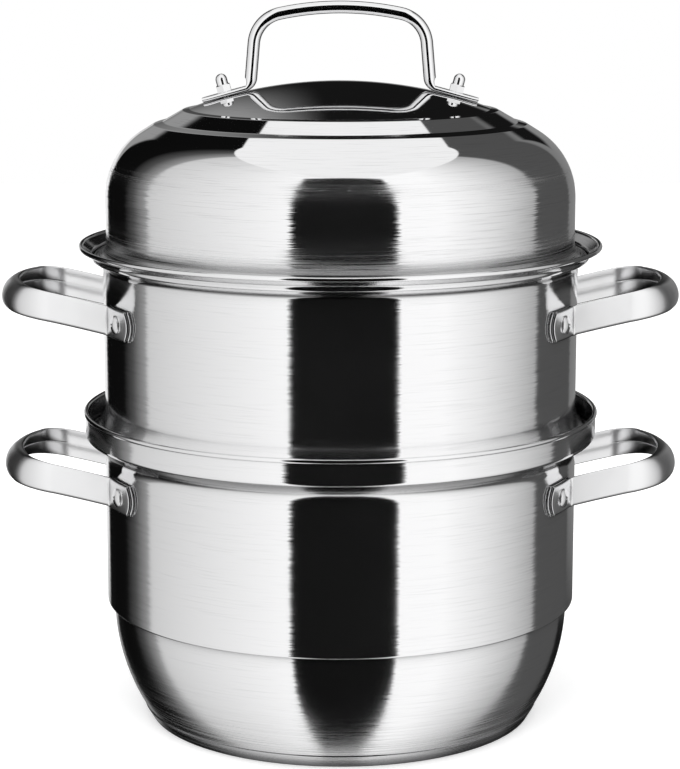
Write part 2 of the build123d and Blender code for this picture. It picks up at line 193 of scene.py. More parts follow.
def new_object(name, vertices, faces, normals):
    """A mesh object with one normal for each face corner."""
    mesh = bpy.data.meshes.new(name)
    mesh.from_pydata(vertices, [], faces)
    mesh.polygons.foreach_set("use_smooth", [True] * len(mesh.polygons))
    mesh.normals_split_custom_set([tuple(normal) for normal in normals])
    mesh.update()
    piece = bpy.data.objects.new(name, mesh)
    bpy.context.scene.collection.objects.link(piece)
    return piece


def spun(name, runs, closed=True, count=turns, place=None):
    """Spin runs of (radius, height) about Z; a point on the axis becomes one pole."""
    joints = []
    for run in runs:
        for index, (point, normal) in enumerate(run):
            if index or not joints:
                joints.append(point)
    closed = closed and (joints[0] - joints[-1]).length < closing_gap
    if closed:
        joints.pop()
    rings, vertices = [], []
    for point in joints:
        radius = max(0.0, point.x)
        around = 1 if radius < pole_radius else count
        rings.append((len(vertices), around))
        for index in range(around):
            angle = 2 * math.pi * index / count
            vertices.append((radius * math.cos(angle), radius * math.sin(angle), point.y))
    faces, normals = [], []
    spokes = [
        (math.cos(2 * math.pi * index / count), math.sin(2 * math.pi * index / count))
        for index in range(count)
    ]
    ring = 0
    for run in runs:
        for (_, first), (_, last) in zip(run, run[1:]):
            low, low_around = rings[ring]
            high, high_around = rings[(ring + 1) % len(rings)]
            ring += 1
            if low_around == high_around == 1:
                continue
            for index in range(count):
                after = (index + 1) % count
                corners = [
                    (low + index % low_around, first, index),
                    (low + after % low_around, first, after),
                    (high + after % high_around, last, after),
                    (high + index % high_around, last, index),
                ]
                if low_around == 1:
                    corners.pop(1)
                if high_around == 1:
                    corners.pop(-1)
                faces.append([corner[0] for corner in corners])
                for _, normal, turn in corners:
                    normals.append((normal.x * spokes[turn][0], normal.x * spokes[turn][1], normal.y))
    if place is not None:
        vertices = [place @ Vector(vertex) for vertex in vertices]
        turned = place.to_3x3()
        normals = [turned @ Vector(normal) for normal in normals]
    piece = new_object(name, vertices, faces, normals)
    print(f"{name}: {len(vertices)} vertices, {len(faces)} faces")
    return piece


def seat(piece, body, *nodes):
    """Let a piece ride on a body and stand for CAD nodes, then compare it with their box."""
    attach(piece, body)
    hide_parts(*nodes)
    low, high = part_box(nodes[0])
    points = [vertex.co for vertex in piece.data.vertices]
    differences = [
        abs(furthest(point[axis] for point in points) - corner[axis])
        for furthest, corner in ((min, low), (max, high))
        for axis in range(3)
    ]
    print(f"{piece.name} against {nodes[0]}: {max(differences) / mm:.2f} mm apart at most")


# %% [markdown]
# ## Main sizes, read from the frame
# The frame gives each node's box, so radii and heights are measured there, not typed again. Sizes
# that a box can't tell, such as a bend's radius or a sheet's thickness, are named in millimetres.

# %% Boxes in millimetres
def reach(node):
    """Half width across X, lowest and highest point of a node, in millimetres."""
    low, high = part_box(node)
    return high[0] / mm, low[2] / mm, high[2] / mm


pot_reach, pot_bottom, pot_top = reach("pot_shell")
cap_reach, _, seam_top = reach("base_cap")
tier_reach, tier_bottom, tier_top = reach("steamer_shell")
_, lid_bottom, lid_top = reach("lid_shell")
grip_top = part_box("lid_handle")[1][2] / mm
print(f"pot lip {pot_reach:.1f} at {pot_top:.1f}, tier lip {tier_reach:.1f} at {tier_top:.1f}")
print(f"lid top {lid_top:.1f}")


def slope(angle):
    """Height gained for each length run, on a slope of the given degrees."""
    return math.tan(math.radians(angle))


# %% [markdown]
# ## The pot
# The pot is drawn from one disc of steel. It has a bowl with a sharp step over it, which a capsule
# base fits under, a straight wall, and a wider collar, where the tier above stands. One section
# with its real sheet thickness shows the same lip from outside and from inside.

# %% Spin the pot's shell
pot_sheet = 1.0
pot_lip_bead = 1.4
pot_ledge_width = 11.6
bowl_step_width = 4.1
pot_band_radius = pot_reach - pot_lip_bead + pot_sheet / 2
pot_wall_radius = pot_band_radius - pot_ledge_width
bowl_radius = pot_wall_radius - bowl_step_width
bowl_bend_height = 37.1
bowl_foot_slope = slope(59.5)
pot_floor_radius = bowl_radius - (bowl_bend_height - pot_bottom) / bowl_foot_slope
step_height = 70.7
pot_ledge_height = 163.4
pot_ledge_slope = slope(34.3)
pot_band_foot = pot_ledge_height + (pot_band_radius - pot_wall_radius) * pot_ledge_slope
pot_bends = [6.0, 118.0, 0.8, 1.3, 9.0, 2.5]
pot_line = bent_line(
    [
        (0, pot_bottom),
        (pot_floor_radius, pot_bottom),
        (bowl_radius, bowl_bend_height),
        (bowl_radius, step_height),
        (pot_wall_radius, step_height),
        (pot_wall_radius, pot_ledge_height),
        (pot_band_radius, pot_band_foot),
        (pot_band_radius, pot_top - pot_lip_bead),
    ],
    pot_bends,
)
pot = spun("pot", beaded_sheet(pot_line, pot_sheet, lip_bead=(pot_lip_bead, pot_sheet / 2)))
seat(pot, "pot", "pot_shell")

# %% [markdown]
# ## The capsule base
# A cap of thin steel closes the base over its aluminium core. Its rim ends in the bright seam low
# on the bowl, which the photograph shows as a thin line near the stove.

# %% Spin the base cap
cap_sheet = 0.6
cap_foot_inset = 2.15
cap_bends = [2.0]
cap_foot_radius = pot_floor_radius - cap_foot_inset
cap_line = bent_line([(0, 0), (cap_foot_radius, 0), (cap_reach, seam_top)], cap_bends)
cap_section = cap_line + thickened(cap_line, cap_sheet * mm)
seam_edge = straight(cap_line[-1][-1][0], cap_section[len(cap_line)][0][0])
cap_section.insert(len(cap_line), seam_edge)
base = spun("capsule_base", cap_section)
seat(base, "pot", "base_cap")

# %% [markdown]
# ## The steamer tier
# The tier is a ring of thinner sheet. Its foot flares out to stand in the pot's collar, and its own
# collar carries the lid and spreads into a thin lip.

# %% Spin the steamer tier
tier_sheet = 0.8
tier_foot_bead = 1.0
tier_lip_bead = 1.4
seat_clearance = 0.6
tier_wall_inset = 0.3
tier_flare_rise = 11.2
tier_wall_rise = 100.3
tier_ledge_width = 6.6
tier_ledge_slope = slope(30)
tier_band_rise = 2.6
tier_bends = [16.0, 3.5, 2.2, 2.0]
tier_wall_radius = pot_wall_radius - tier_wall_inset
tier_foot_radius = pot_band_radius - pot_sheet - seat_clearance - tier_foot_bead
tier_foot_height = tier_bottom + tier_foot_bead
tier_ledge_height = tier_foot_height + tier_wall_rise
tier_band_radius = tier_wall_radius + tier_ledge_width
tier_band_foot = tier_ledge_height + (tier_band_radius - tier_wall_radius) * tier_ledge_slope
tier_line = bent_line(
    [
        (tier_foot_radius, tier_foot_height),
        (tier_wall_radius, tier_foot_height + tier_flare_rise),
        (tier_wall_radius, tier_ledge_height),
        (tier_band_radius, tier_band_foot),
        (tier_band_radius, tier_band_foot + tier_band_rise),
        (tier_reach - tier_lip_bead, tier_top - tier_lip_bead),
    ],
    tier_bends,
)
tier_section = beaded_sheet(
    tier_line, tier_sheet, foot_bead=(tier_foot_bead, 0), lip_bead=(tier_lip_bead, 0)
)
tier = spun("steamer_tier", tier_section)
seat(tier, "steamer", "steamer_shell")

# %% [markdown]
# ## The lid
# The lid is drawn too: a flared foot, a short wall, a large round shoulder, a shallow groove, a
# raised ring and a low dome. The dome is one arc, joined to the ring's crest by a small crease.

# %% Sizes of the lid
lid_sheet = 0.8
lid_foot_bead = 1.0
lid_wall_inset = 2.0
lid_flare_rise = 4.5
lid_wall_rise = 34.2
shoulder_round = 44.2
shoulder_sweep = math.radians(58)
ring_inset = 34.2
groove_width, groove_slope = 5.5, slope(15)
ring_width, ring_slope = 11.5, slope(30)
crest_width, crest_slope = 4.0, slope(8)
crease_run = 3.0
lid_dome_radius = 254.5
lid_bends = [5.0, shoulder_round, 4.0, 4.0, 2.5, 3.0]
lid_wall_radius = tier_wall_radius - lid_wall_inset
lid_foot_radius = tier_band_radius - tier_sheet - seat_clearance - lid_foot_bead
lid_foot_height = lid_bottom + lid_foot_bead
shoulder_height = lid_foot_height + lid_wall_rise
shoulder_top_radius = lid_wall_radius - shoulder_round * (1 - math.cos(shoulder_sweep))
shoulder_top_height = shoulder_height + shoulder_round * math.sin(shoulder_sweep)
ring_foot_radius = lid_wall_radius - ring_inset
groove_radius = ring_foot_radius + groove_width
ring_top_radius = ring_foot_radius - ring_width
crest_radius = ring_top_radius - crest_width
groove_height = shoulder_top_height + (shoulder_top_radius - groove_radius) / math.tan(shoulder_sweep)
ring_foot_height = groove_height + groove_width * groove_slope
ring_top_height = ring_foot_height + ring_width * ring_slope
crest_height = ring_top_height + crest_width * crest_slope
dome_centre = crest_height - math.sqrt(lid_dome_radius**2 - crest_radius**2)
crease_lean = math.asin(crest_radius / lid_dome_radius)
print(f"the lid's crest stands at radius {crest_radius:.1f} and height {crest_height:.1f}")

# %% [markdown]
# One line runs from the foot to a short piece past the crease. That last piece only gives the bend
# its way and is taken off again. The dome is an arc about a centre on the axis, and it starts with
# the bend's own last point, so the mesh stays closed there.

# %% Spin the lid
lid_line = bent_line(
    [
        (lid_foot_radius, lid_foot_height),
        (lid_wall_radius, lid_foot_height + lid_flare_rise),
        (lid_wall_radius, shoulder_height + shoulder_round * math.tan(shoulder_sweep / 2)),
        (groove_radius, groove_height),
        (ring_foot_radius, ring_foot_height),
        (ring_top_radius, ring_top_height),
        (crest_radius, crest_height),
        (
            crest_radius - crease_run * math.cos(crease_lean),
            crest_height + crease_run * math.sin(crease_lean),
        ),
    ],
    lid_bends,
)
lid_line.pop()
crease_end = lid_line[-1][-1]
dome_start = math.acos(crease_end[0].x / mm / lid_dome_radius)
dome = round_run(Vector((0, dome_centre * mm)), lid_dome_radius * mm, dome_start, math.pi / 2)
dome[0] = (crease_end[0], dome[0][1])
lid_line.append(dome)
lid = spun("domed_lid", beaded_sheet(lid_line, lid_sheet, foot_bead=(lid_foot_bead, 0)))
seat(lid, "lid", "lid_shell")

# %% [markdown]
# ## Strap handles
# Each side handle is one strap of steel. Its ends lie on the wall as flanges, turn sharply outwards
# as legs, and meet in a bow that rises a little and leans in over the hand. The edges are hemmed,
# so the strap is crowned outside and shows the seam of the hem along its inner face. Here a
# section of the strap is carried along its line, station by station, and the normals come from the
# section's own runs.

# %% Section of the strap
strap_sheet = 1.8
backing_margin = 0.4
backing_low, backing_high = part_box("pot_backing_right_back")
strap_height = (backing_high[2] - backing_low[2]) / mm - backing_margin
strap_edge_round = 0.5
edge_drop = 0.5
seam_half, seam_round = 0.6, 0.35
bow_crown, bow_hem, bow_seam_depth = 3.0, 2.6, 0.5
crown_steps, round_steps, seam_steps = 12, 10, 6


def strap_section(crown, hem, seam_depth, tall=strap_height):
    """Closed runs of (out, up): crown, top hem, inner face with its seam, lower hem."""
    half = tall / 2
    edge = half - strap_edge_round

    def bowed(start, end, bow, count):
        """A run bowed to the right of its way, flat enough to be drawn as a parabola."""
        start, end = Vector(start), Vector(end)
        way = end - start
        side = Vector((way.y, -way.x)).normalized()
        run = []
        for index in range(count + 1):
            share = index / count
            point = start + way * share + side * (4 * bow * share * (1 - share))
            lead = way + side * (4 * bow * (1 - 2 * share))
            run.append((point, Vector((lead.y, -lead.x)).normalized()))
        return run

    inner = -hem
    outside = []
    for index in range(2 * crown_steps + 1):
        share = index / crown_steps - 1
        depth = crown * (1 - share**2) - edge_drop * share**8
        lean = (2 * crown * share + 8 * edge_drop * share**7) / edge
        outside.append((Vector((depth, edge * share)), Vector((1, lean)).normalized()))
    return [
        outside,
        bowed((-edge_drop, edge), (inner, edge), strap_edge_round, round_steps),
        bowed((inner, edge), (inner, seam_half), seam_round, round_steps),
        bowed((inner, seam_half), (inner, -seam_half), -seam_depth, seam_steps),
        bowed((inner, -seam_half), (inner, -edge), seam_round, round_steps),
        bowed((inner, -edge), (-edge_drop, -edge), strap_edge_round, round_steps),
    ]


bow_section = strap_section(bow_crown, bow_hem, bow_seam_depth)
print("points round the strap:", sum(len(run) - 1 for run in bow_section))

# %% [markdown]
# ## The strap's line
# In plan the strap's outer edge runs along the wall, through a small bend, straight out along the
# leg, round a wide corner and over the bow. A station keeps its place on that line, the way out of
# the strap, its height and how far it has gone round the bow.

# %% Stations along half a strap
strap_spread_half = 50.25
strap_leg_reach = 26.5
strap_corner_radius = 23.3
strap_corner_sweep = math.radians(66)
strap_rise = 13.8
strap_rise_bend = 0.15
strap_lean = math.radians(36)
strap_bend = 1.3
backing_sheet = 1.2
contact_gap = 0.1
leg_stations, turn_stations = 12, 24
up = Vector((0, 0, 1))


def spoke(angle):
    """Unit vector at an angle turned from +Y towards +X."""
    return Vector((math.sin(angle), math.cos(angle)))


def strap_line(wall_radius):
    """Places and headings from the leg's foot to the middle of the bow."""
    flange_outer = wall_radius + backing_sheet + 2 * contact_gap + strap_sheet
    bend_y = strap_spread_half + strap_bend
    leg_start = math.sqrt((flange_outer + strap_bend) ** 2 - bend_y**2)
    leg_end = wall_radius + strap_leg_reach
    corner_centre = Vector((leg_end, strap_spread_half - strap_corner_radius))
    join = corner_centre + spoke(strap_corner_sweep) * strap_corner_radius
    bow_radius = join.y / math.cos(strap_corner_sweep)
    bow_centre = join - spoke(strap_corner_sweep) * bow_radius
    line = []
    for index in range(leg_stations):
        along = leg_start + (leg_end - leg_start) * index / leg_stations
        line.append((Vector((along, strap_spread_half)), 0.0))
    for index in range(turn_stations):
        angle = strap_corner_sweep * index / turn_stations
        line.append((corner_centre + spoke(angle) * strap_corner_radius, angle))
    for index in range(turn_stations + 1):
        angle = strap_corner_sweep + (math.pi / 2 - strap_corner_sweep) * index / turn_stations
        line.append((bow_centre + spoke(angle) * bow_radius, angle))
    return line, Vector((leg_start, bend_y)), flange_outer


line, bend_centre, flange_outer = strap_line(pot_wall_radius)
print("strap reaches", round(line[-1][0].x, 1), "mm, its bend turns about", bend_centre)

# %% [markdown]
# ## Rings of the strap
# A ring is the strap's section standing at one station. The rings of a flange follow the round
# wall, and its tip is bowed and has a small round edge, which catches a thin line of light. The
# backing plate between flange and wall is made by the same rings and shows as a second line. A
# station of such a plate is its share of the way to the tip, and how far it is drawn in there.

# %% Rings from the flange's tip to the bow's middle
flange_length = 23.3
flange_end_bow = 3.4
tip_round = 0.5
flange_crown = 0.05
leg_crown = 0.4
seam_onset = 4
bend_stations = 8
tip_stations = [
    (1.0, 0.9), (1.0, 0.5), (1.0, 0.2), (1.0, 0.0), (0.9, 0.0), (0.6, 0.0), (0.3, 0.0), (0.0, 0.0),
]


def bow_rings(line, wall_radius, height):
    """Rings of the leg and the bow."""
    flange_middle = wall_radius + backing_sheet + 2 * contact_gap + strap_sheet / 2
    root_x = math.sqrt(flange_middle**2 - (strap_spread_half - strap_sheet / 2) ** 2)
    reach_x = line[-1][0].x
    rings = []
    for place, heading in line:
        bow_share = heading / (math.pi / 2)
        run_share = (place.x - root_x) / (reach_x - root_x)
        climb = (1 + strap_rise_bend) * run_share - strap_rise_bend * run_share**2
        out = spoke(heading).to_3d()
        lean = strap_lean * bow_share
        leaning = out * math.cos(lean) + up * math.sin(lean)
        standing = up * math.cos(lean) - out * math.sin(lean)
        origin = Vector((place.x, place.y, height + strap_rise * climb))
        crown = leg_crown + (bow_crown - leg_crown) * bow_share
        hem = strap_sheet + (bow_hem - strap_sheet) * bow_share
        section = strap_section(crown, hem, bow_seam_depth * min(1.0, seam_onset * bow_share))
        rings.append([
            [(origin + leaning * p.x + standing * p.y, leaning * n.x + standing * n.y) for p, n in run]
            for run in section
        ])
    return rings


def plate_rings(section, outer, sheet, tall, near_angle, height):
    """Rings of a plate curved round the wall, from its bowed and softened tip inwards."""
    half = tall / 2
    rings = []
    for share, inset in tip_stations:
        inset *= tip_round
        at_tip = share == 1.0
        back = tip_round - math.sqrt(tip_round**2 - (tip_round - inset) ** 2) if at_tip else tip_round
        ring = []
        for run in section:
            moved = []
            for p, n in run:
                depth = min(max(p.x, -sheet + inset), -inset)
                rise = min(max(p.y, -half + inset), half - inset)
                tip_y = strap_spread_half + flange_length + flange_end_bow * (1 - (p.y / half) ** 2)
                tip = math.asin((tip_y - (back if at_tip else tip_round - back)) / outer)
                angle = near_angle + (tip - near_angle) * share
                way = Vector((math.cos(angle), math.sin(angle), 0))
                tangent = Vector((-math.sin(angle), math.cos(angle), 0))
                tilt = 1 - inset / tip_round if at_tip else 1.0
                normal = (way * n.x + up * n.y) * tilt + tangent * (1 - tilt)
                moved.append((way * (outer + depth) + up * (height + rise), normal.normalized()))
            ring.append(moved)
        rings.append(ring)
    return rings


def flange_rings(bend_centre, flange_outer, height):
    """Rings of the flange from its tip inwards, and of the bend up to the leg."""
    bend_end = math.atan2(bend_centre.y, bend_centre.x)
    section = strap_section(flange_crown, strap_sheet, 0.0)
    rings = plate_rings(section, flange_outer, strap_sheet, strap_height, bend_end, height)
    for index in range(bend_stations - 1, 0, -1):
        angle = (math.pi / 2 - bend_end) * index / bend_stations
        out = spoke(angle).to_3d()
        origin = (bend_centre - spoke(angle) * strap_bend).to_3d() + up * height
        rings.append([
            [(origin + out * p.x + up * p.y, out * n.x + up * n.y) for p, n in run] for run in section
        ])
    return rings


print("flange rings:", len(flange_rings(bend_centre, flange_outer, 0)))

# %% [markdown]
# ## Skin over rings
# The rings are joined by quads and the two ends are closed. The same skin serves the straps, their
# backing plates and, later, the bent rod of the lid's grip and its cap nuts.

# %% Skin the rings, build four handles and their backing plates
def skinned(name, rings, place=None):
    """Closed mesh over rings of runs, in millimetres, with the runs' own normals."""
    place = place or Matrix.Identity(4)
    turned = place.to_3x3()
    vertices = []
    for ring in rings:
        for run in ring:
            vertices += [place @ (point * mm) for point, _ in run[:-1]]
    around = len(vertices) // len(rings)
    faces, normals = [], []
    for level in range(len(rings) - 1):
        spot = 0
        for run, next_run in zip(rings[level], rings[level + 1]):
            for index in range(len(run) - 1):
                here, after = spot, (spot + 1) % around
                low, high = level * around, (level + 1) * around
                faces.append([low + here, low + after, high + after, high + here])
                normals += [run[index][1], run[index + 1][1], next_run[index + 1][1], next_run[index][1]]
                spot += 1
    last = (len(rings) - 1) * around
    faces.append(list(range(around))[::-1])
    faces.append(list(range(last, last + around)))
    start = (vertices[0] - vertices[around]).normalized()
    finish = (vertices[last] - vertices[last - around]).normalized()
    normals = [turned @ normal for normal in normals]
    a, b, c = (vertices[corner] for corner in faces[0][:3])
    if (b - a).cross(c - b).dot(normals[0]) < 0:
        faces = [face[::-1] for face in faces]
        flipped = []
        for index in range(0, len(normals), 4):
            flipped += normals[index:index + 4][::-1]
        normals = flipped
    normals += [start] * around + [finish] * around
    piece = new_object(name, vertices, faces, normals)
    print(f"{name}: {len(vertices)} vertices, {len(faces)} faces")
    return piece


def mirrored(rings, flip):
    """Rings turned over, by a vector of signs, and walked backwards."""
    signs = Vector(flip)
    return [
        [[(point * signs, normal * signs) for point, normal in run] for run in ring]
        for ring in rings[::-1]
    ]


half_turn = Matrix.Rotation(math.pi, 4, "Z")
handle_walls = {"pot": pot_wall_radius, "steamer": tier_wall_radius}
for tier_name, wall_radius in handle_walls.items():
    low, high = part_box(f"{tier_name}_backing_right_back")
    height = (low[2] + high[2]) / 2 / mm
    line, bend_centre, flange_outer = strap_line(wall_radius)
    half_rings = flange_rings(bend_centre, flange_outer, height) + bow_rings(line, wall_radius, height)
    rings = half_rings + mirrored(half_rings, (1, -1, 1))[1:]
    for side, place in (("right", None), ("left", half_turn)):
        handle = skinned(f"{tier_name}_strap_{side}", rings, place)
        seat(handle, tier_name, f"{tier_name}_handle_{side}")
    backing_outer = wall_radius + contact_gap + backing_sheet
    backing_tall = (high[2] - low[2]) / mm
    near_angle = math.asin((strap_spread_half - strap_sheet) / backing_outer)
    section = strap_section(flange_crown, backing_sheet, 0.0, backing_tall)
    plate = plate_rings(section, backing_outer, backing_sheet, backing_tall, near_angle, height)
    plates = {"back": plate, "front": mirrored(plate, (1, -1, 1))}
    for end, opposite in (("back", "front"), ("front", "back")):
        for side, place, source in (("right", None, end), ("left", half_turn, opposite)):
            backing = skinned(f"{tier_name}_backplate_{side}_{end}", plates[source], place)
            seat(backing, tier_name, f"{tier_name}_backing_{side}_{end}")

# %% [markdown]
# ## Rivets
# Each flange is held by one rivet. Its head is a shallow button with a flat rim and a small dimple
# from the rivet tool, and its inner end is a flat head inside the wall. A section spun about the
# rivet's own axis gives both ends.

# %% Spin the rivets
head_radius = 5.3
head_height = 2.4
head_rim = 0.8
shank_radius = 2.5
inner_head_radius = 4.5
inner_head_height = 1.2
dimple_half = math.radians(6)
dimple_depth = 0.25
rivet_reach = 12.2
rivet_turns = 32
rivet_y = strap_spread_half + rivet_reach


def button_runs(sheet):
    """Runs of a rivet, from its dimpled crown down to its flat inner head."""
    seat_height = 3 * contact_gap + backing_sheet + strap_sheet
    inner = -sheet - contact_gap
    crown = head_height - head_rim
    crown_radius = (head_radius**2 + crown**2) / (2 * crown)
    crown_half = math.asin(head_radius / crown_radius)
    centre = Vector((0, (seat_height + head_height - crown_radius) * mm))
    crown_run = round_run(centre, crown_radius * mm, math.pi / 2 - crown_half, math.pi / 2 - dimple_half)
    corners = [
        (0, inner - inner_head_height),
        (inner_head_radius, inner - inner_head_height),
        (inner_head_radius, inner),
        (shank_radius, inner),
        (shank_radius, seat_height),
        (head_radius, seat_height),
        (head_radius, seat_height + head_rim),
    ]
    corners = [Vector(corner) * mm for corner in corners]
    runs = [straight(start, end) for start, end in zip(corners, corners[1:])]
    low_rim = crown_run[-1][0]
    floor = Vector((0, low_rim.y - dimple_depth * mm))
    runs[-1] = straight(corners[-2], crown_run[0][0])
    return runs + [crown_run, straight(low_rim, floor)]


for tier_name, wall_radius in handle_walls.items():
    sheet = pot_sheet if tier_name == "pot" else tier_sheet
    runs = button_runs(sheet)
    for side, turn_of_side in (("right", 1), ("left", -1)):
        for end, turn_of_end in (("front", -1), ("back", 1)):
            low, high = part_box(f"{tier_name}_backing_{side}_{end}")
            angle = math.asin(rivet_y / wall_radius)
            out = Vector((turn_of_side * math.cos(angle), turn_of_end * math.sin(angle), 0))
            spot = out * wall_radius * mm + up * (low[2] + high[2]) / 2
            place = Matrix.Translation(spot) @ out.to_track_quat("Z", "Y").to_matrix().to_4x4()
            name = f"{tier_name}_button_{side}_{end}"
            rivet = spun(name, runs, closed=False, count=rivet_turns, place=place)
            seat(rivet, tier_name, f"{tier_name}_rivet_{side}_{end}")

# %% [markdown]
# ## The lid's grip
# A steel rod is bent into a wide arch, and its ends are pressed flat where the bolts go through.
# Rings of points follow the rod's line, and their section changes from round to flat in the sharp
# bend over each foot.

# %% Line of the grip's right half
rod_radius = 3.65
crown_radius = 170.0
corner_radius = 19.0
leg_lean = math.radians(5)
bend_radius = 4.4
bend_steps = 12
foot_sheet = 2.8
foot_width = 12.0
press_length = 6.0
bolt_inset = 21.3
crown_inset = 31.4
least_flat = 0.01
tip_thinning = 0.4
bolt_radius = crest_radius - bolt_inset
crown_sweep = math.asin((bolt_radius - crown_inset) / crown_radius)
foot_tip_reach = 13.6
bolt_lean = math.asin(bolt_radius / lid_dome_radius)
bolt_spot = Vector((bolt_radius, dome_centre + lid_dome_radius * math.cos(bolt_lean)))
bolt_out = Vector((math.cos(bolt_lean), -math.sin(bolt_lean)))
bolt_up = Vector((math.sin(bolt_lean), math.cos(bolt_lean)))


def heading_vector(fall):
    """Way of the rod in X and Z, after it has turned down by an angle from +X."""
    return Vector((math.cos(fall), -math.sin(fall)))


def arc_points(start, fall, radius, sweep, count):
    """Points and ways along an arc that turns down, or up where the sweep is negative."""
    side = math.copysign(1, sweep)
    normal = Vector((-math.sin(fall), -math.cos(fall))) * side
    centre = start + normal * radius
    points = []
    for index in range(count + 1):
        angle = fall + sweep * index / count
        spot = centre - Vector((-math.sin(angle), -math.cos(angle))) * side * radius
        points.append((spot, heading_vector(angle)))
    return points


def grip_line():
    """Points and ways from the middle of the crown to the start of the flat foot."""
    line = arc_points(Vector((0, grip_top - rod_radius)), 0, crown_radius, crown_sweep, 10)
    corner_sweep = math.pi / 2 - leg_lean - crown_sweep
    line += arc_points(line[-1][0], crown_sweep, corner_radius, corner_sweep, 18)[1:]
    leg_start, leg_way = line[-1]
    seat_spot = bolt_spot + bolt_up * (contact_gap + rod_radius)
    gap = seat_spot - leg_start
    cross = leg_way.x * bolt_out.y - leg_way.y * bolt_out.x
    knee = leg_start + leg_way * ((gap.x * bolt_out.y - gap.y * bolt_out.x) / cross)
    bend_sweep = math.pi / 2 - leg_lean - bolt_lean
    bend_start = knee - leg_way * (bend_radius * math.tan(bend_sweep / 2))
    line.append((leg_start.lerp(bend_start, 0.5), leg_way))
    line += arc_points(bend_start, math.pi / 2 - leg_lean, bend_radius, -bend_sweep, bend_steps)
    return line


grip = grip_line()
print("the rod's bend ends at", grip[-1][0], "and the bolt stands at", bolt_spot)

# %% [markdown]
# The section of the rod is a rounded box all along: where its corners are as round as the rod it
# is a circle, and where it is pressed it is wide and thin, with round sides.

# %% Rings of the grip
def rod_section(width, tall, points=12):
    """Closed runs of a rounded box, in (across, up), with sides as round as it is thin."""
    radius = min(width, tall) / 2
    half = width / 2 - radius
    runs = []
    for centre_x, first in ((half, -90), (-half, 90)):
        run = []
        for index in range(points + 1):
            angle = math.radians(first + 180 * index / points)
            normal = Vector((math.cos(angle), math.sin(angle)))
            run.append((Vector((centre_x, 0)) + normal * radius, normal))
        runs.append(run)
        next_x = -centre_x
        normal = Vector((0, 1 if first < 0 else -1))
        runs.append([
            (Vector((centre_x + (next_x - centre_x) * share, normal.y * radius)), normal)
            for share in (0, 0.5, 1)
        ])
    return runs


def rod_ring(spot, way, width, tall):
    """Section standing across the rod, in the XZ plane of the grip."""
    across = Vector((0, 1, 0))
    rise = Vector((-way.y, 0, way.x))
    origin = Vector((spot.x, 0, spot.y))
    return [
        [(origin + across * p.x + rise * p.y, across * n.x + rise * n.y) for p, n in run]
        for run in rod_section(width, tall)
    ]


def grip_rings():
    """Rings of the right half, from the crown's middle to the tip of its foot."""
    nearly_round = 2 * rod_radius + least_flat
    rings = [rod_ring(spot, way, nearly_round, 2 * rod_radius) for spot, way in grip[:-bend_steps]]
    for index, (spot, way) in enumerate(grip[-bend_steps:]):
        share = (index + 1) / bend_steps
        tall = 2 * rod_radius + (foot_sheet - 2 * rod_radius) * share**2
        middle = spot - Vector((-way.y, way.x)) * (rod_radius - tall / 2)
        width = nearly_round + (foot_width - nearly_round) * share / 2
        rings.append(rod_ring(middle, way, width, tall))
    foot_start = (grip[-1][0] - bolt_spot).dot(bolt_out)
    foot_seat = bolt_up * (contact_gap + foot_sheet / 2)
    for share in (0.25, 0.5, 0.75, 1.0):
        width = (nearly_round + foot_width) / 2 + (foot_width - nearly_round) / 2 * share
        middle = bolt_spot + bolt_out * (foot_start + press_length * share) + foot_seat
        rings.append(rod_ring(middle, bolt_out, width, foot_sheet))
    tip = foot_tip_reach / math.cos(bolt_lean)
    round_start = tip - foot_width / 2
    for angle in range(0, 90, 8):
        inset = foot_width / 2 * (1 - math.cos(math.radians(angle)))
        along = round_start + foot_width / 2 * math.sin(math.radians(angle))
        width = max(foot_width - 2 * inset, foot_sheet * tip_thinning)
        tall = min(foot_sheet, width)
        rings.append(rod_ring(bolt_spot + bolt_out * along + foot_seat, bolt_out, width, tall))
    return rings


half_rings = grip_rings()
whole_rings = mirrored(half_rings, (-1, 1, 1)) + half_rings[1:]
lid_grip = skinned("lid_grip", whole_rings)
seat(lid_grip, "lid", "lid_handle")

# %% [markdown]
# ## Cap nuts
# An acorn nut holds each foot of the grip: a hexagon with its upper corners turned off, closed by a
# dome over the screw's end. It could be cut from a cylinder with booleans, but these often leave
# ragged normals, so it is built in rings of six runs, one for each flat. A very thin ring at each
# edge keeps the edge sharp. The nut stands with a corner to the front, so two flats catch the light.

# %% Build the cap nuts
nut_apothem = 4.0
hexagon_height = 4.2
nut_height = 10.6
nut_dome_radius = 3.4
nut_chamfer = 0.45
chamfer_lean = 50
chamfer_inset = 0.1
flats = 6
flat_half = 30
point_step = 7.5
dome_step = 6
sharp_edge = 0.01


def nut_ring(radius, height, lean, hexagonal):
    """One ring of six runs. Lean is how far the normals rise from level, in degrees."""
    rise, level = math.sin(math.radians(lean)), math.cos(math.radians(lean))
    ring = []
    for flat in range(flats):
        angle = math.radians(2 * flat_half * flat)
        run = []
        for index in range(round(2 * flat_half / point_step) + 1):
            off = math.radians(-flat_half + point_step * index)
            spread = radius / math.cos(off) if hexagonal else radius
            spot = Vector((math.cos(angle + off), math.sin(angle + off), 0)) * spread + up * height
            facing = angle if hexagonal and lean == 0 else angle + off
            run.append((spot, Vector((math.cos(facing) * level, math.sin(facing) * level, rise))))
        ring.append(run)
    return ring


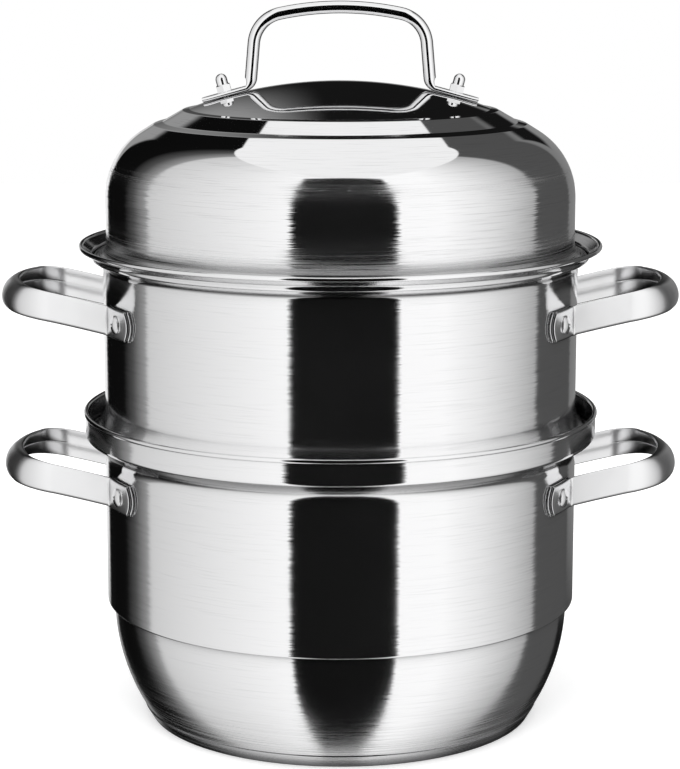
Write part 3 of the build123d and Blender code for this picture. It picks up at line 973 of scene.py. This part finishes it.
def nut_rings():
    """Rings from the nut's foot to the top of its dome."""
    shoulder = hexagon_height - nut_chamfer
    neck = nut_height - nut_dome_radius
    rim = nut_apothem - chamfer_inset
    sizes = [
        (nut_apothem, 0, 0, True),
        (nut_apothem, shoulder, 0, True),
        (nut_apothem, shoulder + sharp_edge, chamfer_lean, True),
        (rim, hexagon_height, chamfer_lean, False),
        (rim - sharp_edge, hexagon_height, 90, False),
        (nut_dome_radius, hexagon_height, 90, False),
        (nut_dome_radius, hexagon_height + sharp_edge, 0, False),
    ]
    for lean in range(0, 88, dome_step):
        angle = math.radians(lean)
        height = neck + nut_dome_radius * math.sin(angle)
        sizes.append((nut_dome_radius * math.cos(angle), height, lean, False))
    return [nut_ring(*size) for size in sizes]


nut_spot = bolt_spot + bolt_up * (2 * contact_gap + foot_sheet)
for side, sign in (("right", 1), ("left", -1)):
    turn_over = Matrix.Rotation(sign * bolt_lean, 4, "Y")
    place = Matrix.Translation(Vector((sign * nut_spot.x, 0, nut_spot.y)) * mm) @ turn_over
    nut = skinned(f"acorn_nut_{side}", nut_rings(), place)
    seat(nut, "lid", f"lid_cap_nut_{side}")

# %% [markdown]
# ## Node helpers
# Shaders are trees of nodes, and each node takes a few calls to add, set and link. These helpers
# say it in one line, so that a finish reads like the sentence that describes it.

# %% Add, set and link nodes
def node(tree, kind, inputs=None, **settings):
    """Add a node with its settings, and link or set its inputs."""
    made = tree.nodes.new(kind)
    for key, value in settings.items():
        setattr(made, key, value)
    for key, value in (inputs or {}).items():
        socket = made.inputs[key]
        if isinstance(value, bpy.types.NodeSocket):
            tree.links.new(value, socket)
        else:
            socket.default_value = value
    return made


def maths(tree, operation, *values):
    """Result of a Math node."""
    return node(tree, "ShaderNodeMath", dict(enumerate(values)), operation=operation).outputs[0]


def vector_maths(tree, operation, *values):
    """Result of a Vector Math node."""
    keys = (0, "Scale") if operation == "SCALE" else (0, 1)
    made = node(tree, "ShaderNodeVectorMath", dict(zip(keys, values)), operation=operation)
    return made.outputs["Value" if operation == "LENGTH" else "Vector"]


def smooth_step(tree, value, low, high):
    """0 under low, 1 over high, smooth between."""
    limits = {"Value": value, "From Min": low, "From Max": high}
    return node(tree, "ShaderNodeMapRange", limits, interpolation_type="SMOOTHSTEP").outputs[0]


def without(tree, value):
    """What is left of 1 when a value is taken away."""
    return maths(tree, "SUBTRACT", 1.0, value)


def blend(tree, share, first, second):
    """Two colours, each a socket or a value, mixed by a share of the second."""
    colours = {"Factor": share, 6: first, 7: second}
    return node(tree, "ShaderNodeMix", colours, data_type="RGBA", blend_type="MIX").outputs[2]


def new_group(name, inputs, outputs):
    """Empty node group with named sockets: itself, what it is given and what it gives."""
    group = bpy.data.node_groups.new(name, "ShaderNodeTree")
    for socket_name, value in inputs:
        socket = group.interface.new_socket(
            name=socket_name, in_out="INPUT", socket_type="NodeSocketFloat"
        )
        socket.default_value = value
    for socket_name, kind in outputs:
        group.interface.new_socket(name=socket_name, in_out="OUTPUT", socket_type=kind)
    return group, group.nodes.new("NodeGroupInput").outputs, group.nodes.new("NodeGroupOutput").inputs


def object_place(tree):
    """Place on the object, in metres."""
    return node(tree, "ShaderNodeTexCoord").outputs["Object"]


def split_axes(tree, vector):
    """X, Y and Z of a vector, by name."""
    return node(tree, "ShaderNodeSeparateXYZ", {0: vector}).outputs


print("helpers:", [helper.__name__ for helper in (node, maths, vector_maths, smooth_step, blend)])

# %% [markdown]
# ## Hairlines
# The walls are brushed round the pot and then buffed: side to side they mirror sharply, up and down
# they blur. Every hairline also turns the mirror a little sideways, so the edge of a dark
# reflection looks ragged. A bump could do that, but Blender takes its slope over the width of a
# pixel, so very fine lines would change with the distance. So one node group works out the turned
# normal itself, from noise stretched round the axis, with no seam at the back. A second noise,
# longer and rougher, says where bands of deeper lines lie.

# %% The hairline group
band_stretch = (0.25, 0.25, 0.9)


def hairline_group():
    """Hairlines that run round Z: a turned normal, a streak value and a band value."""
    number = "NodeSocketFloat"
    group, given, result = new_group(
        "round_hairlines",
        [("Lines per metre", 1400.0), ("Length", 4.0), ("Slope", 1.0), ("Sideways", 0.02), ("Upwards", 0.01)],
        [("Normal", "NodeSocketVector"), ("Streak", number), ("Band", number)],
    )
    axes = split_axes(group, object_place(group))
    flat = node(group, "ShaderNodeCombineXYZ", {"X": axes["X"], "Y": axes["Y"]}).outputs[0]
    radius = vector_maths(group, "LENGTH", flat)
    way = split_axes(group, vector_maths(group, "NORMALIZE", flat))
    run = maths(group, "ADD", axes["Z"], maths(group, "MULTIPLY", radius, given["Slope"]))
    spots = {
        "X": maths(group, "MULTIPLY", way["X"], given["Length"]),
        "Y": maths(group, "MULTIPLY", way["Y"], given["Length"]),
        "Z": maths(group, "MULTIPLY", run, given["Lines per metre"]),
    }
    spot = node(group, "ShaderNodeCombineXYZ", spots).outputs[0]
    fine = {"Vector": spot, "Scale": 1.0, "Detail": 3.0, "Roughness": 0.6}
    noise = node(group, "ShaderNodeTexNoise", fine).outputs
    shares = node(group, "ShaderNodeSeparateColor", {"Color": noise["Color"]}).outputs
    turned_x = maths(group, "MULTIPLY", way["Y"], -1.0)
    around = node(group, "ShaderNodeCombineXYZ", {"X": turned_x, "Y": way["X"]}).outputs[0]
    normal = node(group, "ShaderNodeNewGeometry").outputs["Normal"]
    upward = vector_maths(group, "CROSS_PRODUCT", normal, around)
    pushes = []
    for side, share, strength in ((around, "Red", "Sideways"), (upward, "Green", "Upwards")):
        push = maths(group, "MULTIPLY", maths(group, "SUBTRACT", shares[share], 0.5), given[strength])
        pushes.append(vector_maths(group, "SCALE", side, push))
    pushed = vector_maths(group, "ADD", normal, vector_maths(group, "ADD", *pushes))
    group.links.new(vector_maths(group, "NORMALIZE", pushed), result["Normal"])
    group.links.new(noise[0], result["Streak"])
    band_spot = vector_maths(group, "MULTIPLY", spot, band_stretch)
    banded = {"Vector": band_spot, "Scale": 1.0, "Detail": 4.0, "Roughness": 0.7}
    group.links.new(node(group, "ShaderNodeTexNoise", banded).outputs[0], result["Band"])
    return group


hairlines = hairline_group()
print("group", hairlines.name, "with", [item.name for item in hairlines.interface.items_tree])

# %% [markdown]
# ## Handling marks
# Buffed steel is never blank: it carries faint cloudy wipe marks and short fine scratches. A second
# group gives both as one value, which each finish adds to its roughness in its own measure, and the
# scratches alone as a height for the finishes that show them.

# %% The handling marks group
cloud_limits = (0.42, 0.72)
scratch_limits = (0.60, 0.78)
scratch_turn = (0.4, 0.9, 0.3)
scratch_stretch = (1, 9, 2)


def marks_group():
    """Cloudy wipe marks with fine scratches, and the scratches alone, from 0 to 1."""
    number = "NodeSocketFloat"
    group, given, result = new_group(
        "handling_marks",
        [("Cloud scale", 18.0), ("Scratch scale", 260.0), ("Scratches", 0.5)],
        [("Marks", number), ("Height", number)],
    )
    place = object_place(group)
    clouds = {"Vector": place, "Scale": given["Cloud scale"], "Detail": 4.0, "Distortion": 0.6}
    cloud = node(group, "ShaderNodeTexNoise", clouds).outputs[0]
    cloud = smooth_step(group, cloud, *cloud_limits)
    layout = {"Vector": place, "Rotation": scratch_turn, "Scale": scratch_stretch}
    long_way = node(group, "ShaderNodeMapping", layout).outputs[0]
    lines = {"Vector": long_way, "Scale": given["Scratch scale"], "Detail": 1.0, "Distortion": 0.2}
    scratch = node(group, "ShaderNodeTexNoise", lines).outputs[0]
    scratch = smooth_step(group, scratch, *scratch_limits)
    both = maths(group, "ADD", maths(group, "MULTIPLY", scratch, given["Scratches"]), cloud)
    group.links.new(maths(group, "MINIMUM", both, 1.0), result["Marks"])
    group.links.new(scratch, result["Height"])
    return group


marks = marks_group()
print("group", marks.name, "with", [item.name for item in marks.interface.items_tree])

# %% [markdown]
# ## Bare metal, painted shade in its creases, and its wear
# All finishes are one metal shader with a pale colour. Three things vary it: creases and narrow gaps are
# darkened with painted shade, found by ambient occlusion; wipe marks make it a little rougher in
# patches; and fine scratches stand in it as a very shallow bump.

# %% What every finish shares
steel_colour = (0.86, 0.86, 0.865, 1.0)
aluminium_colour = (0.80, 0.80, 0.81, 1.0)
# Painted shade: the grey that creases and narrow gaps are darkened towards.
crevice_shade_grey = (0.16, 0.16, 0.165, 1.0)
scratch_depth = 0.05 * mm


def new_metal(name):
    """A material of bare metal, its node tree and its shader."""
    material = bpy.data.materials.new(name)
    material.use_nodes = True
    metal = material.node_tree.nodes["Principled BSDF"]
    metal.inputs["Metallic"].default_value = 1.0
    return material, material.node_tree, metal


def painted_crevice_shade(tree, colour, distance, shut=0.15, clear=0.85):
    """The colour, darkened with painted shade in creases and narrow gaps, found by ambient occlusion."""
    near = node(tree, "ShaderNodeAmbientOcclusion", {"Distance": distance}, samples=6)
    return blend(tree, smooth_step(tree, near.outputs["AO"], shut, clear), crevice_shade_grey, colour)


def wiped(tree, metal, rough, wiping, cloud_scale=18.0, scratch_scale=260.0):
    """Give the metal its roughness, with wipe marks over it. Returns the height of the scratches."""
    scales = {"Cloud scale": cloud_scale, "Scratch scale": scratch_scale}
    handling = node(tree, "ShaderNodeGroup", scales, node_tree=marks).outputs
    wiping = maths(tree, "MULTIPLY", handling["Marks"], wiping)
    tree.links.new(maths(tree, "ADD", wiping, rough), metal.inputs["Roughness"])
    return handling["Height"]


def scratched(tree, metal, height, strength):
    """Fine scratches, as a bump."""
    relief = {"Strength": strength, "Distance": scratch_depth, "Height": height}
    tree.links.new(node(tree, "ShaderNodeBump", relief).outputs[0], metal.inputs["Normal"])


print("steel shows", steel_colour[:3], "of white, its creases", crevice_shade_grey[:3])

# %% [markdown]
# ## Brushed steel
# Cycles can blur a mirror image more one way than the other, so the brushing is an anisotropic metal
# whose tangent runs round Z. Three things vary it over the height of a wall. Where polish takes
# over, the lines fade out. At a ledge or foot the colour is darkened with painted shade. And where a
# wall was brushed coarsely, bands of deep lines scatter the light all ways.

# %% Brushed steel
streak_limits = (0.5, 0.8)
# Dark of the random streaks, and of the painted shade at ledges and feet.
streak_and_shade_black = (0.06, 0.06, 0.06, 1.0)
band_limits = (0.38, 0.62)
fewest_deep_lines = 0.04
deep_scatter = 0.8
deep_rough = 0.36
polished_rough = 0.035
brushed_wiping = 0.015
# Painted shade in the walls' creases: reach of the occlusion, and where the shade is full and gone.
wall_crevice_shade = (8 * mm, 0.35, 0.95)


def streaked_colour(tree, height, streak, streaks, shaded_steps):
    """Steel with painted shade in creases and at the ledges and feet, and darkened along streaks."""
    dark = maths(tree, "MULTIPLY", smooth_step(tree, streak, *streak_limits), streaks)
    for low, high, end, strength in shaded_steps:
        step = without(tree, smooth_step(tree, height, high, end))
        step = maths(tree, "MULTIPLY", step, smooth_step(tree, height, low, high))
        dark = maths(tree, "MAXIMUM", dark, maths(tree, "MULTIPLY", step, strength))
    return blend(tree, dark, painted_crevice_shade(tree, steel_colour, *wall_crevice_shade), streak_and_shade_black)


def deep_lines(tree, height, band, coarse):
    """How deep the lines are: shallow bands everywhere, full ones where the brushing is coarse."""
    share = fewest_deep_lines
    for clear, full in coarse:
        share = maths(tree, "MAXIMUM", share, smooth_step(tree, height, clear, full))
    return maths(tree, "MULTIPLY", smooth_step(tree, band, *band_limits), share)


def brushed_steel(
    name, slope=1.0, sideways=0.055, upwards=0.04, rough=0.11, streaks=0.10, fades=None, shaded_steps=(), coarse=()
):
    """Round-brushed steel. Fades gives the heights between which polish takes over. Shaded steps
    gives, for each ledge or foot, the heights where its painted shade starts, is full and ends, and
    its strength. Coarse gives the heights where deep lines have gone and where they are full."""
    material, tree, metal = new_metal(name)
    metal.inputs["Anisotropic Rotation"].default_value = 0.25
    tangent = node(tree, "ShaderNodeTangent", direction_type="RADIAL", axis="Z")
    tree.links.new(tangent.outputs[0], metal.inputs["Tangent"])
    height = split_axes(tree, object_place(tree))["Z"]
    brushed, pushes = 1.0, {"Sideways": sideways, "Upwards": upwards}
    if fades:
        brushed = without(tree, smooth_step(tree, height, *fades))
        pushes = {key: maths(tree, "MULTIPLY", brushed, push) for key, push in pushes.items()}
    lines = node(tree, "ShaderNodeGroup", {"Slope": slope, **pushes}, node_tree=hairlines).outputs
    tree.links.new(lines["Normal"], metal.inputs["Normal"])
    colour = streaked_colour(tree, height, lines["Streak"], streaks, shaded_steps)
    tree.links.new(colour, metal.inputs["Base Color"])
    deep = deep_lines(tree, height, lines["Band"], coarse)
    one_way = without(tree, maths(tree, "MULTIPLY", deep, deep_scatter))
    tree.links.new(one_way, metal.inputs["Anisotropic"])
    grain = maths(tree, "ADD", rough, maths(tree, "MULTIPLY", deep, deep_rough))
    grain = maths(tree, "MULTIPLY", maths(tree, "SUBTRACT", grain, polished_rough), brushed)
    wiped(tree, metal, maths(tree, "ADD", grain, polished_rough), brushed_wiping)
    return material


print("polish mirrors at roughness", polished_rough, "and deep lines add up to", deep_rough)

# %% [markdown]
# ## Polished, satin and rolled metal
# Small parts are mirror polished. The straps are polished by hand with felt, so their images are
# soft and cloudy in patches, and their hems are darkened with painted shade: their edges are told by
# how far the normal points up or down. The core of the base is plain rolled aluminium, dull and patchy.

# %% The other finishes
# Painted shade on the strap's hems, where the normal points steeply up or down.
hem_shade_black = (0.10, 0.10, 0.10, 1.0)
upper_hem_shade = (0.75, 0.92)
lower_hem_shade = (0.2, 0.45)
# Painted shade in the strap's creases: reach of the occlusion.
strap_crevice_shade = 2 * mm


def polished_steel(name, rough=0.05):
    """Mirror-polished steel with wipe marks and fine scratches."""
    material, tree, metal = new_metal(name)
    metal.inputs["Base Color"].default_value = steel_colour
    height = wiped(tree, metal, rough, 0.04, cloud_scale=60.0, scratch_scale=700.0)
    scratched(tree, metal, height, 0.03)
    return material


def satin_steel(name):
    """Steel polished by hand: soft mirror images, cloudy in patches, painted shade on its hems and creases.
    """
    material, tree, metal = new_metal(name)
    rise = split_axes(tree, node(tree, "ShaderNodeNewGeometry").outputs["Normal"])["Z"]
    under = smooth_step(tree, maths(tree, "MULTIPLY", rise, -1.0), *lower_hem_shade)
    hem = maths(tree, "MAXIMUM", under, smooth_step(tree, rise, *upper_hem_shade))
    colour = blend(tree, hem, painted_crevice_shade(tree, steel_colour, strap_crevice_shade), hem_shade_black)
    tree.links.new(colour, metal.inputs["Base Color"])
    height = wiped(tree, metal, 0.28, 0.03, cloud_scale=90.0, scratch_scale=500.0)
    scratched(tree, metal, height, 0.02)
    return material


def rolled_aluminium(name):
    """Dull rolled aluminium for the core of the base."""
    material, tree, metal = new_metal(name)
    metal.inputs["Base Color"].default_value = aluminium_colour
    wiped(tree, metal, 0.35, 0.2)
    return material


trim_steel = polished_steel("trim_steel")
strap_steel = satin_steel("strap_steel")
fastener_steel = polished_steel("fastener_steel", rough=0.08)
core_metal = rolled_aluminium("core_metal")
print("finishes:", [made.name for made in (trim_steel, strap_steel, fastener_steel, core_metal)])

# %% [markdown]
# ## The brushed finishes of this pot
# The heights come from the shapes. The two ledges and the foot of the lid are the steps that get
# painted shade. The brushing gets coarser down the bowl, down to the lid's foot, and up the lid's
# shoulder to where the mirror polish of the dome takes over.

# %% Heights of steps, coarse brushing and polish
def heights(base, *offsets):
    """Heights over a base, from millimetres to metres."""
    return tuple((base + offset) * mm for offset in offsets)


# Painted shade under the ledges of pot and tier and at the lid's foot: heights where it starts, is full and
# ends, and its strength.
pot_ledge_shade = ((pot_ledge_height - 1.5) * mm, *heights(pot_band_foot, -1.0, 0.2), 0.8)
tier_ledge_shade = (*heights(tier_ledge_height, -2.0, 0.2, 2.2), 0.8)
lid_foot_shade = (*heights(lid_foot_height, -2.0, 6.0, 15.0), 0.45)
lid_coarse = [heights(lid_foot_height, 34, -2), heights(shoulder_height, 6, 26)]
bowl_coarse = [((step_height - 4) * mm, -26 * mm)]
polish_starts = heights(shoulder_height, 14, 26)
wall_steel = brushed_steel("wall_steel", slope=0.6, shaded_steps=[pot_ledge_shade, tier_ledge_shade], coarse=bowl_coarse)
base_steel = brushed_steel("base_steel", sideways=0.10, upwards=0.08, coarse=bowl_coarse)
lid_steel = brushed_steel(
    "lid_steel",
    slope=-1.0,
    sideways=0.11,
    upwards=0.25,
    streaks=0.2,
    fades=polish_starts,
    shaded_steps=[lid_foot_shade],
    coarse=lid_coarse,
)
plate_steel = brushed_steel("plate_steel", rough=0.2)
print("the lid's polish starts between", [round(height / mm, 1) for height in polish_starts], "mm")

# %% [markdown]
# ## Dress the pieces
# Every mesh, new or from the CAD, gets its finish as its only material. The nodes that stay as the
# CAD made them are the steam plate, the base's core and the lid's screws and washers.

# %% Give every piece its finish
def dress(piece, material):
    """One material on a whole piece."""
    piece.data.materials.clear()
    piece.data.materials.append(material)


def finish_for(name):
    """Finish of a piece or node by its name."""
    if "core" in name:
        return core_metal
    if "steam_plate" in name:
        return plate_steel
    if "lid_shell" in name or "domed_lid" in name:
        return lid_steel
    if "base" in name:
        return base_steel
    if "shell" in name or name in ("pot", "steamer_tier"):
        return wall_steel
    if any(kind in name for kind in ("screw", "nut", "washer", "rivet", "button")):
        return fastener_steel
    if "strap" in name:
        return strap_steel
    return trim_steel


for piece in list(bpy.context.scene.objects):
    if piece.type != "MESH":
        continue
    dress(piece, finish_for(piece.name))

# %% [markdown]
# ## The studio in the steel
# A mirror shows its surroundings, so the look of polished steel is the look of the studio. The
# camera sees only a white backdrop. The steel sees white panels at both sides, a soft panel
# overhead and dark gaps between them. They could be sheets of light round the pot, but they are
# painted on the world by direction, so they stay out of the way of every view and pose. Turn is the
# angle round the pot from the front, in degrees, positive to the left, and each stop of the ramp
# below gives how bright the panels show there. They are drawn in a little towards the top.

# %% Panels round the pot
panel_gain = 1.12
panel_taper = 0.12
side_panels = [
    (-180, 0.55), (-166, 0.50), (-148, 0.46), (-147, 0.30), (-109, 0.31), (-107, 0.66), (-90, 0.80),
    (-70, 0.92), (-50, 1.0), (-20, 1.0), (28, 0.98), (60, 0.91), (90, 0.84), (105, 0.80), (107, 0.58),
    (118, 0.30), (128, 0.05), (157, 0.04), (158, 0.92), (172, 0.90), (173, 0.5), (180, 0.5),
]


def grey(shown):
    """Scene colour of a panel that shows on screen as the given share of white, before the gain."""
    value = shown / 12.92 if shown <= 0.04045 else ((shown + 0.055) / 1.055) ** 2.4
    return (value * panel_gain, value * panel_gain, value * panel_gain, 1)


def side_colour(tree, turn, height):
    """Colour of the side panels in a direction."""
    drawn_in = without(tree, maths(tree, "MULTIPLY", height, panel_taper))
    share = maths(tree, "DIVIDE", maths(tree, "MULTIPLY", turn, drawn_in), 2 * math.pi)
    ramp = node(tree, "ShaderNodeValToRGB", {0: maths(tree, "ADD", share, 0.5)})
    stops = ramp.color_ramp.elements
    for place, _ in side_panels[1:-1]:
        stops.new(place / 360 + 0.5)
    for stop, (place, shown) in zip(stops, side_panels):
        stop.position = place / 360 + 0.5
        stop.color = grey(shown)
    return ramp.outputs[0]


print("side panels:", len(side_panels), "stops")

# %% [markdown]
# ## Overhead panel and dark room
# The panel overhead is an ellipse on a ceiling: a direction meets the ceiling at X / Z and Y / Z.
# Behind the pot the room is dark, which gives the dome and the ledges their black parts. It is dark
# high up from about 158 degrees on, just over level in the middle and at the left, and low down
# from about 148 degrees on. At the left a faint glow breaks it. Rise is the Z of a direction of
# length 1, and drop is the same downwards.

# %% Masks of the studio
overhead_shown = 0.95
overhead_half = {"X": 0.555, "Y": 0.70}
overhead_middle = {"X": 0.045, "Y": 0.12}
overhead_edge = (0.98, 1.03)
least_rise = 0.001
high_turn, high_rise = (157, 159), (0.16, 0.24)
middle_turn, left_turn, level_rise = (171, 173), (158, 161), (0.02, 0.08)
low_turn, low_drop = (145, 150), (0.22, 0.30)
glow_end_turn = (166, 178.5)
glow_grey, room_grey = 0.30, 0.008


def turned(tree, turn, limits):
    """Smooth step between two turns, given in degrees."""
    return smooth_step(tree, turn, *(math.radians(limit) for limit in limits))


def overhead_mask(tree, way, height):
    """1 on the overhead panel."""
    squares = []
    for axis, half in overhead_half.items():
        off = maths(tree, "DIVIDE", way[axis], height)
        off = maths(tree, "DIVIDE", maths(tree, "SUBTRACT", off, overhead_middle[axis]), half)
        squares.append(maths(tree, "POWER", off, 2.0))
    return without(tree, smooth_step(tree, maths(tree, "ADD", *squares), *overhead_edge))


def room_mask(tree, turn, rise):
    """1 in the dark parts of the room behind the pot."""
    swing = maths(tree, "ABSOLUTE", turn)
    drop = maths(tree, "MULTIPLY", rise, -1.0)
    middle = maths(tree, "MAXIMUM", turned(tree, swing, middle_turn), turned(tree, turn, left_turn))
    dark = 0.0
    for across, up_or_down in (
        (turned(tree, swing, high_turn), smooth_step(tree, rise, *high_rise)),
        (middle, smooth_step(tree, rise, *level_rise)),
        (turned(tree, swing, low_turn), smooth_step(tree, drop, *low_drop)),
    ):
        dark = maths(tree, "MAXIMUM", dark, maths(tree, "MULTIPLY", across, up_or_down))
    return dark


def room_colour(tree, turn):
    """Nearly black, with the glow at the left."""
    glow = without(tree, turned(tree, turn, glow_end_turn))
    glow = maths(tree, "MULTIPLY", glow, turned(tree, turn, left_turn))
    value = maths(tree, "ADD", maths(tree, "MULTIPLY", glow, glow_grey), room_grey)
    return node(tree, "ShaderNodeCombineColor", {0: value, 1: value, 2: value}).outputs[0]


print("overhead panel:", overhead_half, "of its height to each side")

# %% [markdown]
# ## The world
# The parts are laid over each other: side panels, then the dark room, then the overhead panel. The
# camera's own rays see plain white instead.

# %% Paint the world
def paint_studio():
    """World shader: white for the camera, panels and gaps for the steel."""
    world = bpy.data.worlds.new("studio")
    bpy.context.scene.world = world
    world.use_nodes = True
    tree = world.node_tree
    tree.nodes.clear()
    direction = node(tree, "ShaderNodeTexCoord").outputs["Generated"]
    way = split_axes(tree, vector_maths(tree, "NORMALIZE", direction))
    left, front = (maths(tree, "MULTIPLY", way[axis], -1.0) for axis in ("X", "Y"))
    turn = maths(tree, "ARCTAN2", left, front)
    height = maths(tree, "MAXIMUM", way["Z"], least_rise)
    walls = blend(
        tree, room_mask(tree, turn, way["Z"]), side_colour(tree, turn, height), room_colour(tree, turn)
    )
    whole = blend(tree, overhead_mask(tree, way, height), walls, grey(overhead_shown))
    painted = node(tree, "ShaderNodeBackground", {"Color": whole, "Strength": 1.0}).outputs[0]
    white = node(tree, "ShaderNodeBackground", {"Color": (1, 1, 1, 1), "Strength": 1.0}).outputs[0]
    camera_ray = node(tree, "ShaderNodeLightPath").outputs["Is Camera Ray"]
    seen = node(tree, "ShaderNodeMixShader", {0: camera_ray, 1: painted, 2: white}).outputs[0]
    node(tree, "ShaderNodeOutputWorld", {"Surface": seen})
    return len(tree.nodes)


print("the studio takes", paint_studio(), "nodes")

# %% [markdown]
# ## The floor
# The floor is plain and pale. To the camera it is lit up to white and keeps the pot's soft shadow;
# to the steel it is clear, so the studio's panels run down the walls without a break.

# %% Lay the floor
def flat_sheet(name, corners):
    """One quad through four corners, in metres."""
    mesh = bpy.data.meshes.new(name)
    mesh.from_pydata(corners, [], [[0, 1, 2, 3]])
    piece = bpy.data.objects.new(name, mesh)
    bpy.context.scene.collection.objects.link(piece)
    return piece


def empty_paint(name):
    """A material without nodes, and its tree."""
    material = bpy.data.materials.new(name)
    material.use_nodes = True
    material.node_tree.nodes.clear()
    return material, material.node_tree


floor_half = 3.0
floor_grey = (0.86, 0.86, 0.86, 1)
floor_glow = 0.45
signs = ((-1, -1), (1, -1), (1, 1), (-1, 1))
floor = flat_sheet("floor", [(x * floor_half, y * floor_half, 0) for x, y in signs])
floor_paint, tree = empty_paint("floor_paint")
matt = node(tree, "ShaderNodeBsdfDiffuse", {"Color": floor_grey}).outputs[0]
glow = node(tree, "ShaderNodeEmission", {"Color": (1, 1, 1, 1), "Strength": floor_glow}).outputs[0]
lit = node(tree, "ShaderNodeAddShader", {0: matt, 1: glow}).outputs[0]
clear = node(tree, "ShaderNodeBsdfTransparent").outputs[0]
path = node(tree, "ShaderNodeLightPath").outputs
seen = node(tree, "ShaderNodeMixShader", {0: path["Is Camera Ray"], 1: matt, 2: lit}).outputs[0]
whole = node(tree, "ShaderNodeMixShader", {0: path["Is Glossy Ray"], 1: seen, 2: clear}).outputs[0]
node(tree, "ShaderNodeOutputMaterial", {"Surface": whole})
floor.data.materials.append(floor_paint)
print("floor:", 2 * floor_half, "m wide")

# %% [markdown]
# ## The black card
# Product photographers stand a black card before polished steel to give it a dark middle band: the
# walls mirror the card, the side handles see past it. It is close to the pot but out of the camera's
# sight, a little narrower at its foot, and its sides fade out over about two centimetres, which
# softens the band's edges.

# %% Stand the card before the pot
card_plane = -0.35
card_left, card_right = -0.1313, 0.1526
card_low, card_high = -1.2, 0.70
card_taper = 0.85
card_fade = 18 * mm
velvet_black = (0.003, 0.003, 0.003, 1)
card = flat_sheet(
    "black_card",
    [
        (card_left * card_taper, card_plane, card_low),
        (card_right * card_taper, card_plane, card_low),
        (card_right, card_plane, card_high),
        (card_left, card_plane, card_high),
    ],
)
card.visible_camera = False
card.visible_diffuse = False
card.visible_shadow = False
card_paint, tree = empty_paint("card_paint")
across = split_axes(tree, object_place(tree))["X"]
off_middle = maths(tree, "ABSOLUTE", maths(tree, "SUBTRACT", across, (card_left + card_right) / 2))
card_half = (card_right - card_left) / 2
soft_edge = smooth_step(tree, off_middle, card_half - card_fade, card_half)
velvet = node(tree, "ShaderNodeBsdfDiffuse", {"Color": velvet_black}).outputs[0]
clear = node(tree, "ShaderNodeBsdfTransparent").outputs[0]
faded = node(tree, "ShaderNodeMixShader", {0: soft_edge, 1: velvet, 2: clear}).outputs[0]
node(tree, "ShaderNodeOutputMaterial", {"Surface": faded})
card.data.materials.append(card_paint)
print("card:", round(2 * card_half, 3), "m wide")

# %% [markdown]
# ## The lamp
# One large soft lamp overhead throws the shadow. The steel doesn't mirror it, since the overhead
# panel is painted already.

# %% Hang the lamp
lamp_aim = Vector((0, 0, 0.2))
lamp_data = bpy.data.lights.new("soft_lamp", "AREA")
lamp_data.shape = "DISK"
lamp_data.size = 2.4
lamp_data.energy = 26
lamp = bpy.data.objects.new("soft_lamp", lamp_data)
lamp.location = (-0.15, -0.25, 2.2)
lamp.rotation_euler = (lamp_aim - Vector(lamp.location)).to_track_quat("-Z", "Y").to_euler()
lamp.visible_glossy = False
bpy.context.scene.collection.objects.link(lamp)
print("stage:", floor.name, card.name, "and", lamp.name)

# %% [markdown]
# ## The camera
# The photograph looks slightly down, with long glass. Its focal length and pitch come from the
# ellipses of the two lips, whose height over width tells how far the camera looks down on them.

# %% Place the camera
picture_height = 769
focal_pixels = 2440
camera_pitch = math.radians(10.734)
camera_place = (-0.0002, -1.43006, 0.46963)
camera_data = bpy.data.cameras.new("camera")
camera_data.lens = focal_pixels / picture_height * camera_data.sensor_width
camera = bpy.data.objects.new("camera", camera_data)
camera.location = camera_place
camera.rotation_euler = (math.pi / 2 - camera_pitch, 0, 0)
bpy.context.scene.collection.objects.link(camera)
bpy.context.scene.camera = camera
bpy.context.scene.view_settings.view_transform = "Standard"
print("lens", round(camera_data.lens, 1), "mm")
